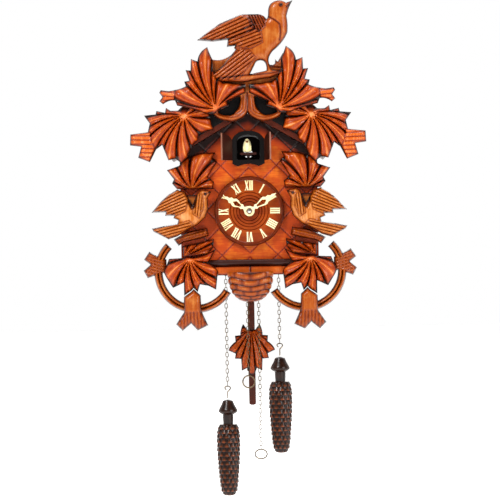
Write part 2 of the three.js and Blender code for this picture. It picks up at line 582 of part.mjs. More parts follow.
const ROD_BACK = PENDULUM_DEPTH - PENDULUM_ROD_THICKNESS / 2;
const ROD_FRONT = ROD_BACK + PENDULUM_ROD_THICKNESS;
const ROD_HALF = PENDULUM_ROD_WIDTH / 2;
const ROD_TOP = PIVOT_Z - 8;
const ROD_BASE = FLOOR_Z - PENDULUM_ROD_BELOW_FLOOR;
add('pendulum_hanger', cut(
  plate(outline([
    [-ROD_HALF, ROD_TOP + GAP], [ROD_HALF, ROD_TOP + GAP], [ROD_HALF, PIVOT_Z + 1],
    [ROD_HALF, PIVOT_Z + 4, 0, PIVOT_Z + 4], [-ROD_HALF, PIVOT_Z + 4, -ROD_HALF, PIVOT_Z + 1],
  ]), ROD_BACK, ROD_FRONT),
  disc(HANGER_HOLE_RADIUS, ROD_BACK - 1, ROD_FRONT + 1, 0, PIVOT_Z, 16),
), 'steel');
add('pendulum_rod', plate(outline([
  [-ROD_HALF, ROD_TOP], [-ROD_HALF, ROD_BASE + 1.6], [0, ROD_BASE - 1, ROD_HALF, ROD_BASE + 1.6],
  [ROD_HALF, ROD_TOP],
]), ROD_BACK, ROD_FRONT), 'leaf_wood');
const PENDULUM_LEAF_Z = FLOOR_Z - PENDULUM_LEAF_BELOW_FLOOR;
const pendulumLeaf = [
  [0, 19], [4, 20], [8.5, 26], [11.5, 20, 11.5, 14.5], [17, 14], [16.5, 8], [22.5, 4, 24, -1],
  [16.5, -4.5], [17.5, -9.5], [11, -10], [10.5, -22], [5, -19.5], [3, -25], [0, -26.5],
  [-3, -25], [-5, -19.5], [-10.5, -22], [-11, -10], [-17.5, -9.5], [-16.5, -4.5], [-24, -1],
  [-22.5, 4, -16.5, 8], [-17, 14], [-11.5, 14.5], [-11.5, 20, -8.5, 26], [-4, 20],
];
add('pendulum_leaf', plate(
  outline(shifted(pendulumLeaf, 0, PENDULUM_LEAF_Z)), ROD_FRONT + GAP,
  ROD_FRONT + GAP + PENDULUM_LEAF_THICKNESS), 'leaf_wood');

// ---------------------------------------------------------------- chains, weights and pull rings

// Each strand is one plain tube from inside the case down to its hook or ring.
const STRAND_STEPS = 24;
for (const [name, x, depth, drop] of strands) {
  const top = FLOOR_Z + CHAIN_INSIDE;
  const base = FLOOR_Z - drop;
  const points = [0, 0.25, 0.5, 0.75, 1].map((t) => [x, -depth, top + t * (base - top)]);
  add(name, wire(points, CHAIN_DIAMETER, 8, STRAND_STEPS), 'bronze');
}

const coneProfile = [
  [0, -CONE_LENGTH], [6, -CONE_LENGTH + 1], [8.5, -CONE_LENGTH + 5], [CONE_RADIUS - 1.6, -70],
  [CONE_RADIUS, -48], [CONE_RADIUS, -35], [CONE_RADIUS - 2.5, -26], [5.4, -19], [5.4, -15.5],
  [9.8, -12.5], [8.6, -9], [5, -1.5], [2.5, 0], [0, 0],
];
function weight(word, x, drop, side) {
  const top = FLOOR_Z - drop - GAP;
  const coneTop = top - HOOK_HEIGHT;
  const half = HOOK_WIDTH / 2;
  const hook = [
    [-half, -1], [-half, 5], [-half, HOOK_HEIGHT - 3.5], [0, HOOK_HEIGHT - HOOK_WIRE / 2],
    [half, HOOK_HEIGHT - 3.5], [half, 6], [half - 1, 4.2], [-0.4, 4.2],
  ];
  const points = hook.map(([dx, dz]) => [x + side * dx, -FALL_DEPTH, coneTop + dz + 1 + GAP]);
  points[3][2] = top - HOOK_WIRE / 2;
  add(`${word}_hook`, wire(points, HOOK_WIRE, 8, 28), 'bronze');
  add(`${word}_cone`, upright(coneProfile.map(([r, z]) => [r, coneTop + z]), x, FALL_DEPTH), 'cone_plastic');
}
weight('left', LEFT_FALL_X, LEFT_FALL_BELOW_FLOOR, 1);
weight('right', RIGHT_FALL_X, RIGHT_FALL_BELOW_FLOOR, -1);

function pullRing(name, x, drop, tilt) {
  const middle = (RING_DIAMETER - RING_WIRE) / 2;
  const profile = [];
  for (let i = 0; i <= 8; i += 1) {
    const angle = (2 * Math.PI * i) / 8;
    profile.push(new THREE.Vector2(
      middle + Math.cos(angle) * RING_WIRE / 2, Math.sin(angle) * RING_WIRE / 2));
  }
  profile[8].copy(profile[0]);
  const ring = new THREE.LatheGeometry(profile, 28);
  ring.rotateX(Math.PI);
  ring.translate(0, 0, -RING_DIAMETER / 2);
  const pivot = new THREE.Group();
  pivot.position.set(x, -TAIL_DEPTH, FLOOR_Z - drop - GAP);
  pivot.rotation.x = tilt;
  add(name, ring, 'bronze', pivot);
  clock.add(pivot);
}
pullRing('left_pull_ring', LEFT_TAIL_X, LEFT_TAIL_BELOW_FLOOR, 0);
pullRing('right_pull_ring', RIGHT_TAIL_X, RIGHT_TAIL_BELOW_FLOOR, RIGHT_RING_TILT);

// ---------------------------------------------------------------- the carvings

// The left carvings are drawn, and the right ones mirror them. Each is drawn from its own
// anchor: the ridge, the roof over the side panel, the dial's height, or the floor's corner.
const atRidge = (corners) => shifted(corners, 0, RIDGE_Z);
const atShoulder = (corners) => shifted(corners, -CASE_HALF, RIDGE_Z - CASE_HALF * ROOF_DROP);
const atDial = (corners) => shifted(corners, -CASE_HALF, DIAL_Z);
const atCorner = (corners) => shifted(corners, -CASE_HALF, FLOOR_Z);
// Lowers an outline that would reach the roof boards until it just clears them.
const belowRoof = (corners) => shifted(
  corners, 0, Math.min(0, ...corners.map((c) => roofUnderside(c.at(-2)) - GAP - c.at(-1))));

// Five toothed lobes and a forked twig, from its foot beside the middle post.
const crestLeaf = [
  [-33, -7], [-29, -3], [-19, 0.5], [-20.5, 5], [-8, 10.5], [-1.5, 13.5], [-1.5, 22], [-24, 24],
  [-30, 29], [-34, 37], [-34, 47], [-37, 53, -39, 59.5], [-48, 55, -49, 45.5], [-55.5, 48],
  [-56, 36.5], [-61, 37], [-57.5, 26.5], [-62.5, 25.5], [-61, 21], [-66, 18, -78, 16.5],
  [-86, 17.5], [-87.5, 15], [-84.5, 10.5], [-87.5, 6.5], [-84, 3.5], [-78, 8, -72, 7], [-70, 2],
  [-55, -1.5], [-42, -6.5],
];
// The board behind the crest leaves, with the web under the bird's tail.
const crestBoard = [
  [-34, -7], [-38, 0], [-47, 9], [-45, 35], [-36, 49], [-25, 44, -12, 55], [0, 49], [3, 31],
  [19, 34.5], [21, 44], [25, 40, 28, 43], [28.5, 47], [31, 45], [36, 53], [46, 45], [47, 9],
  [38, 0], [34, -7], [32, -13, 16, -15], [4, -13, 0, -6], [-4, -13, -16, -15], [-32, -13, -34, -7],
];
// One of the two openings above the doorway.
const crestHole = [
  [-29, -5], [-27, -2], [-19, 0.5], [-18.5, 3], [-20.5, 5], [-9, 10.5], [-7.5, 9],
  [-7.5, -3, -17, -8], [-25, -8.5, -29, -5],
];
// Four lobes that hang over the eaves, with a forked twig.
const shoulderLeaf = [
  [2, 40], [-0.5, 37.5], [-8, 37.5], [-12.5, 40.5], [-13.5, 35.5], [-22, 37.5], [-23, 34],
  [-34.5, 33], [-29, 25], [-31, 16.5], [-48.5, 14.5], [-49, 3.5], [-38, 2], [-41, -9],
  [-29.5, -13.5], [-23, -1], [-17, 3.5], [-11, -12], [-4, -10.5], [2.5, -15.5], [8, -9], [13, 2],
  [19, 8], [20, 14], [34.5, 18], [32.5, 27], [29.5, 38.5], [20.5, 48], [11, 46.5],
];
// The leaf between the eaves and the side bird.
const midLeaf = [
  [10.5, 23], [5, 23], [-3, 23], [-8, 29], [-6, 33], [-13, 42.5], [-1, 46.5], [6, 54], [19, 58.5],
  [36, 59.5], [33, 54], [37.5, 50], [28, 35], [34, 30], [33, 23], [19, 23],
];
// A bird with a raised wing that looks at the dial.
const sideBird = [
  [31.5, 20], [27.5, 13], [28, 3], [25, -6], [17, -13], [7, -18], [-3, -24], [-12, -27],
  [-27, -19], [-28.5, -16], [-17, -13.5], [-3, -11.5], [-2, -8], [-7, -6], [-6, -3.5], [-15, -3.5],
  [-14.5, 0], [-28.5, 0], [-19, 11], [-11, 18], [-3, 22.5], [5, 20], [12.5, 7], [17.5, 19],
  [22, 22], [28, 21],
];
// The part of the side bird that reaches back to the front board.
const sideBirdBack = [
  [25, 17], [25, -3], [16, -11], [3, -15.5], [3, 17],
];
// The cut branch that the side bird sits on.
const perch = [
  [-7.5, -27], [-2.5, -33.5], [3, -30], [19, -27], [28, -24], [26.5, -16.5], [9, -19], [1, -22.5],
];
// Seven lobes across the case's lower corner.
const lowerLeaf = [
  [7, 18.5], [12, 18], [24, 21], [35, 26.5], [27, 12.5], [36, 8, 37, 3], [36, -1], [34.5, -14],
  [27, -10], [18.5, -8.5], [16, -16], [12, -12], [10, -14.5], [2.5, -19.5], [2.5, -6.5], [-3, -9],
  [-8.5, -11.5], [-15, -1], [-17.5, 4], [-12, 17.5],
];
// The lobe of the lower leaf that lies on the front board.
const lowerLeafBack = [
  [2, 19], [2, 30], [19, 33], [33, 36.5], [32, 28], [26, 21],
];
// The forked twig on the hoop's outer side.
const hoopTwig = [
  [-32, 25], [-37.5, 17], [-31, 12], [-38, 6], [-34, -1.5], [-25, 1.5], [-15, 4], [-15, 17],
  [-21, 19],
];
// The forked stem below the hoop.
const vineStem = [
  [2, -21], [10, -15.5], [12, -13], [19, -19.5], [19.5, -35], [26, -49.5], [15.5, -54.5],
  [9, -47.5], [0.5, -54.5], [-6, -48], [2, -36],
];
// A bird with spread wings on its branch.
const topBird = [
  [46.5, 104.5], [42, 97, 40.5, 89], [42, 81, 41, 73], [37, 63, 26.5, 55], [21, 49, 22, 44],
  [23, 37, 26, 35.5], [32, 35, 42, 35], [34, 33, 24, 28], [10, 26.5, -2, 24], [-15, 24, -26, 24.5],
  [-36, 30.5], [-24, 41], [-11, 56.5], [-12.5, 58], [-11, 60.5], [-19.5, 59.5], [-18.5, 66.5],
  [-33.5, 65], [-49, 66.5], [-38, 75, -26, 83], [-14, 88, -6, 91.5], [6, 91.5, 12, 91.5],
  [18, 91, 20.5, 86.5], [22, 88, 22, 93], [22, 104, 33, 105], [37, 105, 40, 102.5],
];
// The gap between the bird, its leg and the branch.
const topBirdGap = [
  [7.5, 40.5], [9, 45.5, 14, 45.5], [20, 45, 19.5, 35.5], [3, 32],
];

const crestOutline = outline(atRidge(crestBoard));
const birdOutline = outline(atRidge(topBird));
const holeTool = (side, back, front) => plate(outline(onSide(atRidge(crestHole), side)), back, front);
// A thinner board above the roof closes both openings from behind.
const crestBacking = outline([
  [0, roofTop(0) + 2 * GAP], [BACKING_FOOT, roofTop(BACKING_FOOT) + 2 * GAP], [44, RIDGE_Z - 9], [44, RIDGE_Z + 7],
  [30, RIDGE_Z + 17], [-30, RIDGE_Z + 17], [-44, RIDGE_Z + 7], [-44, RIDGE_Z - 9],
  [-BACKING_FOOT, roofTop(BACKING_FOOT) + 2 * GAP],
]);
add('crest_board', join(
  cut(
    plate(crestOutline, CREST_BACK, CREST_FRONT),
    holeTool(-1, CREST_BACK - 1, CREST_FRONT + 1),
    holeTool(1, CREST_BACK - 1, CREST_FRONT + 1),
  ),
  plate(crestBacking, ROOF_FRONT - CREST_BACKING, ROOF_FRONT),
  block(-25, 25, ROOF_FRONT - 1, CREST_BACK + 1, RIDGE_Z + 12, RIDGE_Z + 16),
), 'leaf_wood');
add('top_bird', cut(
  plate(birdOutline, CREST_LEAF_BACK, CREST_LEAF_BACK + BIRD_RELIEF),
  plate(outline(atRidge(topBirdGap)), CREST_LEAF_BACK - 1, CREST_LEAF_BACK + BIRD_RELIEF + 1),
), 'bird_wood');

const HOOP_X = -CASE_HALF + 14;
const HOOP_Z = FLOOR_Z + 4;
const HOOP_START = THREE.MathUtils.degToRad(135);
const HOOP_END = THREE.MathUtils.degToRad(328);
function hoopOutline() {
  const shape = new THREE.Shape();
  const outer = HOOP_RADIUS + HOOP_WIDTH / 2;
  const inner = HOOP_RADIUS - HOOP_WIDTH / 2;
  shape.absarc(0, 0, outer, HOOP_START, HOOP_END, false);
  shape.absarc(0, 0, inner, HOOP_END, HOOP_START, true);
  shape.closePath();
  return new THREE.Shape(shape.getPoints(14).map((p) => new THREE.Vector2(p.x + HOOP_X, p.y + HOOP_Z)));
}
const flip = (geometry) => toGeometry(toSolid(geometry).mirror([1, 0, 0]));

for (const [word, side] of [['left', -1], ['right', 1]]) {
  const sided = (corners) => outline(onSide(corners, side));
  const turnSide = (geometry) => (side < 0 ? geometry : flip(geometry));
  add(`${word}_crest_leaf`, cut(
    plate(sided(atRidge(crestLeaf)), CREST_LEAF_BACK, CREST_LEAF_FRONT),
    plate(birdOutline, CREST_LEAF_BACK - 1, CREST_LEAF_FRONT + 1, GAP),
  ), 'leaf_wood');
  add(`${word}_shoulder_leaf`, plate(sided(atShoulder(shoulderLeaf)), CREST_BACK, CREST_FRONT), 'leaf_wood');
  add(`${word}_mid_leaf`, plate(sided(belowRoof(atDial(midLeaf))), LOW_BACK, LOW_FRONT), 'leaf_wood');
  add(`${word}_perch`, plate(sided(atDial(perch)), LOW_BACK, LOW_FRONT), 'bird_wood');
  add(`${word}_bird`, join(
    plate(sided(atDial(sideBird)), HIGH_BACK, LOW_BACK + LOW_RELIEF + BIRD_RELIEF),
    plate(sided(atDial(sideBirdBack)), LOW_BACK, HIGH_BACK + 1),
  ), 'bird_wood');
  add(`${word}_vine_hoop`, turnSide(join(
    plate(hoopOutline(), LOW_BACK, LOW_FRONT),
    plate(outline(atCorner(hoopTwig)), LOW_BACK, LOW_FRONT),
  )), 'leaf_wood');
  add(`${word}_lower_leaf`, join(
    plate(sided(atCorner(lowerLeaf)), HIGH_BACK, HIGH_FRONT),
    plate(sided(atCorner(lowerLeafBack)), LOW_BACK, HIGH_BACK + 1),
  ), 'leaf_wood');
  add(`${word}_vine_stem`, plate(sided(atCorner(vineStem)), HIGH_BACK, HIGH_FRONT), 'bird_wood');
}

// The apron closes the front below the rail, and its tongue backs the nest.
const RAIL_BASE = FLOOR_Z + 9.7;
const RAIL_TOP = RAIL_BASE + 6;
const NEST_HALF = 23.5;
const NEST_DROP = 27;
add('apron', join(
  block(-46, 46, LOW_BACK, LOW_FRONT - 3, FLOOR_Z, RAIL_BASE),
  block(-46, 46, LOW_BACK, LOW_FRONT, RAIL_BASE - 0.5, RAIL_TOP),
  plate(outline([
    [-17, FLOOR_Z + 1], [-15, FLOOR_Z - 20, 0, FLOOR_Z - 23], [15, FLOOR_Z - 20, 17, FLOOR_Z + 1],
  ]), LOW_BACK, LOW_FRONT - 3),
), 'dark_wood');
const bowl = new THREE.SphereGeometry(1, 24, 14);
bowl.scale(NEST_HALF, NEST_RELIEF, NEST_DROP);
bowl.translate(0, -(LOW_FRONT - 3 + GAP), FLOOR_Z);
add('nest', keep(bowl, block(
  -NEST_HALF - 1, NEST_HALF + 1, LOW_FRONT - 3 + GAP, LOW_FRONT + NEST_RELIEF,
  FLOOR_Z - NEST_DROP - 1, FLOOR_Z + 3)), 'bird_wood');

export default clock;
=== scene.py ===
"""A battery cuckoo clock in a carved case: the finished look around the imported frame.

Every piece is in metres in the frame's own axes: +Z up, the front faces -Y, the wall is Y = 0.
The carvings are drawn in millimetres, in X and Z, and a depth is a distance in front of the
wall, so Y = -depth.
"""
import logging
import math
from dataclasses import dataclass, field
from enum import Enum
from typing import Callable, Sequence

import bpy
import numpy as np
from mathutils import Matrix, Vector
from mathutils.geometry import delaunay_2d_cdt


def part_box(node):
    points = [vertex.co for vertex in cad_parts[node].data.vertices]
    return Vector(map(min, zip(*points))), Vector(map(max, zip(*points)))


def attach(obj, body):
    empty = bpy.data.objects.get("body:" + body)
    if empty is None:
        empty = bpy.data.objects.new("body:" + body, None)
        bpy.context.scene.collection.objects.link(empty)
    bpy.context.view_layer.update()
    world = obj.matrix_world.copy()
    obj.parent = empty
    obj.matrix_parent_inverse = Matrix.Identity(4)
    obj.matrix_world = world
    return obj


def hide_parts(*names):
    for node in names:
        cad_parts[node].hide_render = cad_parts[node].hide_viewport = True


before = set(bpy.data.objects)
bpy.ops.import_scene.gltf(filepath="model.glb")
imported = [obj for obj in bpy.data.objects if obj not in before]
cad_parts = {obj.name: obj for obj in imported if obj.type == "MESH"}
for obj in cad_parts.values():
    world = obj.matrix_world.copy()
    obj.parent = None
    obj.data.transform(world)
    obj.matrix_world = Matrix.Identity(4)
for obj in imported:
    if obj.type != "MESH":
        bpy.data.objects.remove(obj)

MM = 0.001
CLOSE = 1e-6  # millimetres between points that are the same
# depths of the carvings' flat backs, in millimetres in front of the wall
GLUED_BACK = 86.3  # on the front board
EAVES_BACK = 98.3  # over the roof's front edge
CREST_BACK = 108.3  # over the crest board
LOG = logging.getLogger("cuckoo_clock")
Points = Sequence[Sequence[float]]
Relief = Callable[[np.ndarray, np.ndarray], tuple[np.ndarray, np.ndarray]]


class Side(Enum):
    """The clock's left or right, as seen from the front."""

    LEFT = -1
    RIGHT = 1

    @property
    def word(self) -> str:
        """The side's name in a piece's name."""
        return self.name.lower()


def box_mm(node: str) -> tuple[np.ndarray, np.ndarray]:
    """Gives a CAD node's lowest and highest corners in millimetres."""
    low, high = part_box(node)
    return np.array(low) / MM, np.array(high) / MM


# ---------------------------------------------------------------- meshes


def mesh_object(name: str, vertices: np.ndarray, faces: Sequence[Sequence[int]],
                **values: np.ndarray) -> bpy.types.Object:
    """Makes an object from vertices in millimetres.

    Args:
        name: The piece's name.
        vertices: One row of x, y and z for each vertex, in millimetres.
        faces: Lists of vertex numbers, anticlockwise seen from outside.
        **values: Named numbers from 0 to 1 for each vertex, which materials read.

    Returns:
        The object, at the origin, with its place in its mesh.
    """
    mesh = bpy.data.meshes.new(name)
    mesh.from_pydata((np.asarray(vertices, float) * MM).tolist(), [], [list(f) for f in faces])
    for attribute, numbers in values.items():
        layer = mesh.attributes.new(attribute, "FLOAT", "POINT")
        layer.data.foreach_set("value", np.asarray(numbers, np.float32))
    mesh.update()
    piece = bpy.data.objects.new(name, mesh)
    bpy.context.scene.collection.objects.link(piece)
    return piece


def only(piece: bpy.types.Object) -> None:
    """Selects one object alone and makes it active."""
    bpy.ops.object.select_all(action="DESELECT")
    piece.select_set(True)
    bpy.context.view_layer.objects.active = piece


def smooth(piece: bpy.types.Object, degrees: float = 35) -> bpy.types.Object:
    """Shades a piece smooth, with crisp edges above an angle."""
    only(piece)
    bpy.ops.object.shade_smooth_by_angle(angle=math.radians(degrees))
    return piece


def settle(piece: bpy.types.Object) -> bpy.types.Object:
    """Puts an object's place, turn and size into its mesh."""
    only(piece)
    bpy.ops.object.transform_apply(location=True, rotation=True, scale=True)
    return piece


def finish_modifiers(piece: bpy.types.Object) -> bpy.types.Object:
    """Applies a piece's modifiers in order."""
    only(piece)
    for modifier in list(piece.modifiers):
        bpy.ops.object.modifier_apply(modifier=modifier.name)
    return piece


def outward(piece: bpy.types.Object, merge_mm: float = 0.0) -> bpy.types.Object:
    """Turns a piece's faces outwards, after merging points closer than a distance."""
    only(piece)
    bpy.ops.object.mode_set(mode="EDIT")
    bpy.ops.mesh.select_all(action="SELECT")
    if merge_mm:
        bpy.ops.mesh.remove_doubles(threshold=merge_mm * MM)
    bpy.ops.mesh.normals_make_consistent(inside=False)
    bpy.ops.object.mode_set(mode="OBJECT")
    return piece


def bevelled(piece: bpy.types.Object, width_mm: float, segments: int = 2) -> bpy.types.Object:
    """Rounds a piece's sharp edges by a width in millimetres."""
    modifier = piece.modifiers.new("round_edges", "BEVEL")
    modifier.width = width_mm * MM
    modifier.segments = segments
    modifier.limit_method = "ANGLE"
    modifier.angle_limit = math.radians(40)
    return smooth(finish_modifiers(piece))


def joined(name: str, pieces: Sequence[bpy.types.Object]) -> bpy.types.Object:
    """Joins several objects into one with the given name."""
    only(pieces[0])
    for piece in pieces:
        piece.select_set(True)
    bpy.ops.object.join()
    whole = bpy.context.view_layer.objects.active
    whole.name = name
    whole.data.name = name
    return whole


def box_piece(name: str, low: Sequence[float], high: Sequence[float],
              bevel: float) -> bpy.types.Object:
    """Makes a block between two corners in millimetres, with its edges rounded."""
    low, high = np.array(low, float), np.array(high, float)
    bpy.ops.object.select_all(action="DESELECT")
    bpy.ops.mesh.primitive_cube_add(size=1, location=tuple((low + high) / 2 * MM))
    piece = bpy.context.active_object
    piece.name = name
    piece.scale = tuple((high - low) * MM)
    return bevelled(settle(piece), bevel)


def turned(name: str, profile: Points, sides: int, axis: str = "Z",
           centre: Sequence[float] = (0, 0, 0), ring: bool = False) -> bpy.types.Object:
    """Turns a piece as on a lathe, extruding a circle from ring to ring.

    Args:
        name: The piece's name.
        profile: [radius, distance along the axis] in millimetres, from one end to the other.
            Neither end is on the axis.
        sides: The number of sides round the axis.
        axis: "Z" for an upright piece, or "Y" for one whose axis points to the front.
        centre: The point in millimetres that the profile's distance 0 is at.
        ring: Whether the profile is a closed loop round a hole. Otherwise each end is closed
            by a flat face.

    Returns:
        The piece, settled and shaded smooth.
    """
    bpy.ops.object.select_all(action="DESELECT")
    bpy.ops.mesh.primitive_circle_add(
        vertices=sides, radius=profile[0][0] * MM, fill_type="NOTHING" if ring else "NGON",
        location=(0, 0, profile[0][1] * MM))
    piece = bpy.context.active_object
    piece.name = name
    bpy.ops.object.mode_set(mode="EDIT")
    bpy.ops.mesh.select_all(action="SELECT")
    steps = [*profile[1:], profile[0]] if ring else profile[1:]
    for (last_radius, last_height), (radius, height) in zip(profile, steps):
        bpy.ops.mesh.extrude_region_move(
            TRANSFORM_OT_translate={"value": (0, 0, (height - last_height) * MM)})
        scale = radius / last_radius
        bpy.ops.transform.resize(value=(scale, scale, 1))
    bpy.ops.object.mode_set(mode="OBJECT")
    settle(outward(piece, 0.01 if ring else 0.0))
    turn = Matrix.Rotation(math.pi / 2, 4, "X") if axis == "Y" else Matrix.Identity(4)
    piece.data.transform(Matrix.Translation(Vector(centre) * MM) @ turn)
    return smooth(piece, 30 if ring else 35)


def wire(name: str, points: Points, diameter: float) -> bpy.types.Object:
    """Bends a round wire along points in millimetres, through a smooth curve."""
    curve = bpy.data.curves.new(name, "CURVE")
    curve.dimensions = "3D"
    spline = curve.splines.new("NURBS")
    spline.points.add(len(points) - 1)
    for node, place in zip(spline.points, points):
        node.co = (*(np.array(place, float) * MM), 1)
    spline.order_u = 3
    spline.use_endpoint_u = True
    spline.resolution_u = 8
    curve.bevel_depth = diameter / 2 * MM
    curve.bevel_resolution = 1
    curve.use_fill_caps = True
    piece = bpy.data.objects.new(name, curve)
    bpy.context.scene.collection.objects.link(piece)
    only(piece)
    bpy.ops.object.convert(target="MESH")
    return smooth(bpy.context.active_object, 60)


# ---------------------------------------------------------------- carving


def curved(corners: Points, step: float = 1.0) -> np.ndarray:
    """Turns an outline's corners into points about a step apart.

    A corner is [x, z], or [cx, cz, x, z] for a curve pulled towards (cx, cz).
    """
    points: list[np.ndarray] = []
    last = np.array(corners[0][-2:], float)
    for corner in [*corners[1:], list(corners[0][-2:])]:
        end = np.array(corner[-2:], float)
        middle = np.array(corner[:2], float) if len(corner) == 4 else (last + end) / 2
        length = np.linalg.norm(middle - last) + np.linalg.norm(end - middle)
        if length < CLOSE:  # the outline is already closed by its last curve
            continue
        count = max(1, int(round(length / step)))
        for t in np.arange(count) / count:
            points.append((1 - t) ** 2 * last + 2 * t * (1 - t) * middle + t ** 2 * end)
        last = end
    return np.array(points)


def circle(radius: float, sides: int, z: float = 0.0) -> Points:
    """Draws a round outline in millimetres, its middle at X = 0 and at a height z."""
    return [(radius * math.cos(turn), z + radius * math.sin(turn))
            for turn in np.linspace(0, 2 * math.pi, sides + 1)[:-1]]


def signed_area(loop: np.ndarray) -> float:
    """Gives twice the area of a closed loop: above 0 when it runs anticlockwise."""
    return sum(a[0] * b[1] - b[0] * a[1] for a, b in zip(loop, np.roll(loop, -1, axis=0)))


def inside(points: np.ndarray, loop: np.ndarray) -> np.ndarray:
    """Says which points lie inside a closed loop."""
    hits = np.zeros(len(points), bool)
    for start, end in zip(loop, np.roll(loop, -1, axis=0)):
        crosses = (start[1] > points[:, 1]) != (end[1] > points[:, 1])
        rise = end[1] - start[1] if end[1] != start[1] else 1e-9
        at = start[0] + (points[:, 1] - start[1]) / rise * (end[0] - start[0])
        hits ^= crosses & (points[:, 0] < at)
    return hits


def distance_to(points: np.ndarray, loop: np.ndarray, closed: bool = True) -> np.ndarray:
    """Gives each point's distance to a line of points."""
    starts = loop if closed else loop[:-1]
    ends = np.roll(loop, -1, axis=0) if closed else loop[1:]
    best = np.full(len(points), 1e9)
    for start, end in zip(starts, ends):
        along = end - start
        share = np.clip(((points - start) @ along) / max(along @ along, 1e-9), 0, 1)
        best = np.minimum(best, np.linalg.norm(points - start - share[:, None] * along, axis=1))
    return best


def triangles(loops: Sequence[np.ndarray],
              extra: np.ndarray) -> tuple[np.ndarray, list[tuple[int, ...]]]:
    """Fills an outline with its holes by triangles through extra points."""
    verts = np.vstack([*loops, extra]) if len(extra) else np.vstack(loops)
    edges, offset = [], 0
    for loop in loops:
        count = len(loop)
        edges += [(offset + i, offset + (i + 1) % count) for i in range(count)]
        offset += count
    result = delaunay_2d_cdt([Vector(v) for v in verts], edges, [], 0, 1e-6)
    places = np.array([[v.x, v.y] for v in result[0]])
    faces = [tuple(f) for f in result[2]]
    centres = np.array([places[list(f)].mean(axis=0) for f in faces])
    kept = inside(centres, loops[0])
    for hole in loops[1:]:
        kept &= ~inside(centres, hole)
    return places, [f for f, keep in zip(faces, kept) if keep]


def carve(name: str, corners: Points, back: float, edge: float, relief: Relief,
          holes: Sequence[Points] = (), spacing: float = 0.9, mirror: bool = False) -> bpy.types.Object:
    """Carves a board: a flat back, sawn sides and a relief on the front.

    Args:
        name: The piece's name.
        corners: The outline's corners in millimetres, as curved() takes them.
        back: The depth of the flat back, in millimetres in front of the wall.
        edge: The depth of the front's outer edge.
        relief: Gives each front point's rise above the edge and its stain and painted shade value, from 0 to
            1, from the points and their distances to the outline.
        holes: Outlines that go right through.
        spacing: The distance between the front's points.
        mirror: Whether the piece is the mirror image, for the other side.

    Returns:
        One closed piece with the stain and painted shade value at its vertices.
    """
    loops = [curved(outline, spacing * 1.1) for outline in (corners, *holes)]
    for index, loop in enumerate(loops):
        if (signed_area(loop) < 0) == (index == 0):
            loops[index] = loop[::-1]
    low, high = loops[0].min(axis=0), loops[0].max(axis=0)
    rows = np.arange(low[1], high[1], spacing * 0.87)
    grid = np.array([[x + (i % 2) * spacing / 2, z] for i, z in enumerate(rows)
                     for x in np.arange(low[0], high[0], spacing)])
    grid = grid[inside(grid, loops[0])]
    clear = np.ones(len(grid), bool)
    for loop in loops:
        clear &= distance_to(grid, loop) > spacing * 0.55
    for hole in loops[1:]:
        clear &= ~inside(grid, hole)
    grid = grid[clear]

    front, front_faces = triangles(loops, grid)
    away = np.min([distance_to(front, loop) for loop in loops], axis=0)
    rise, burn = relief(front, away)
    flat, flat_faces = triangles(loops, np.empty((0, 2)))
    count = len(front)
    verts = np.vstack([
        np.column_stack([front[:, 0], -(edge + np.maximum(rise, 0)), front[:, 1]]),
        np.column_stack([flat[:, 0], np.full(len(flat), -back), flat[:, 1]]),
    ])
    faces = [list(f) for f in front_faces] + [[count + i for i in reversed(f)] for f in flat_faces]
    offset = 0
    for loop in loops:
        size = len(loop)
        for i in range(size):
            a, b = offset + i, offset + (i + 1) % size
            faces.append([a, count + a, count + b, b])
        offset += size
    if mirror:
        verts[:, 0] *= -1
        faces = [list(reversed(f)) for f in faces]
    burns = np.concatenate([np.clip(burn, 0, 1), np.full(len(flat), 0.35)])
    return smooth(mesh_object(name, verts, faces, burn=burns), 50)


# ---------------------------------------------------------------- finishes


def linear(colour: str) -> tuple[float, float, float, float]:
    """Turns an sRGB hex colour into the linear colour that a shader takes."""
    parts = [int(colour[i:i + 2], 16) / 255 for i in (1, 3, 5)]
    return (*[c / 12.92 if c <= 0.04045 else ((c + 0.055) / 1.055) ** 2.4 for c in parts], 1.0)


def add(tree: bpy.types.NodeTree, kind: str, inputs: dict | None = None,
        links: dict | None = None, **settings: object) -> bpy.types.Node:
    """Adds a node with its settings and links.

    Args:
        tree: The material's node tree.
        kind: The node's type.
        inputs: Values by input name or number.
        links: Output sockets by the input name or number that they feed.
        **settings: The node's own properties.

    Returns:
        The new node.
    """
    node = tree.nodes.new(kind)
    for key, value in settings.items():
        setattr(node, key, value)
    for key, value in (inputs or {}).items():
        node.inputs[key].default_value = value
    for key, socket in (links or {}).items():
        tree.links.new(socket, node.inputs[key])
    return node


def new_material(name: str) -> tuple[bpy.types.Material, bpy.types.NodeTree]:
    """Makes an empty node material."""
    material = bpy.data.materials.new(name)
    material.use_nodes = True
    material.node_tree.nodes.clear()
    return material, material.node_tree


def noise(tree: bpy.types.NodeTree, size_mm: float, detail: float) -> bpy.types.NodeSocket:
    """Gives a cloudy value from 0 to 1, its clouds a size in millimetres across."""
    place = add(tree, "ShaderNodeTexCoord").outputs["Object"]
    return add(tree, "ShaderNodeTexNoise", {"Scale": 1 / (size_mm * MM), "Detail": detail},
               {"Vector": place}).outputs["Fac"]


def bumpy(tree: bpy.types.NodeTree, height: bpy.types.NodeSocket, strength: float,
          high_mm: float) -> bpy.types.NodeSocket:
    """Gives the normals of a surface that a value raises."""
    return add(tree, "ShaderNodeBump", {"Strength": strength, "Distance": high_mm * MM},
               {"Height": height}).outputs["Normal"]


def math_node(tree: bpy.types.NodeTree, operation: str, links: dict, inputs: dict,
              **settings: object) -> bpy.types.NodeSocket:
    """Gives the result of a sum on sockets and values, by the input's number."""
    return add(tree, "ShaderNodeMath", inputs, links, operation=operation, **settings).outputs[0]


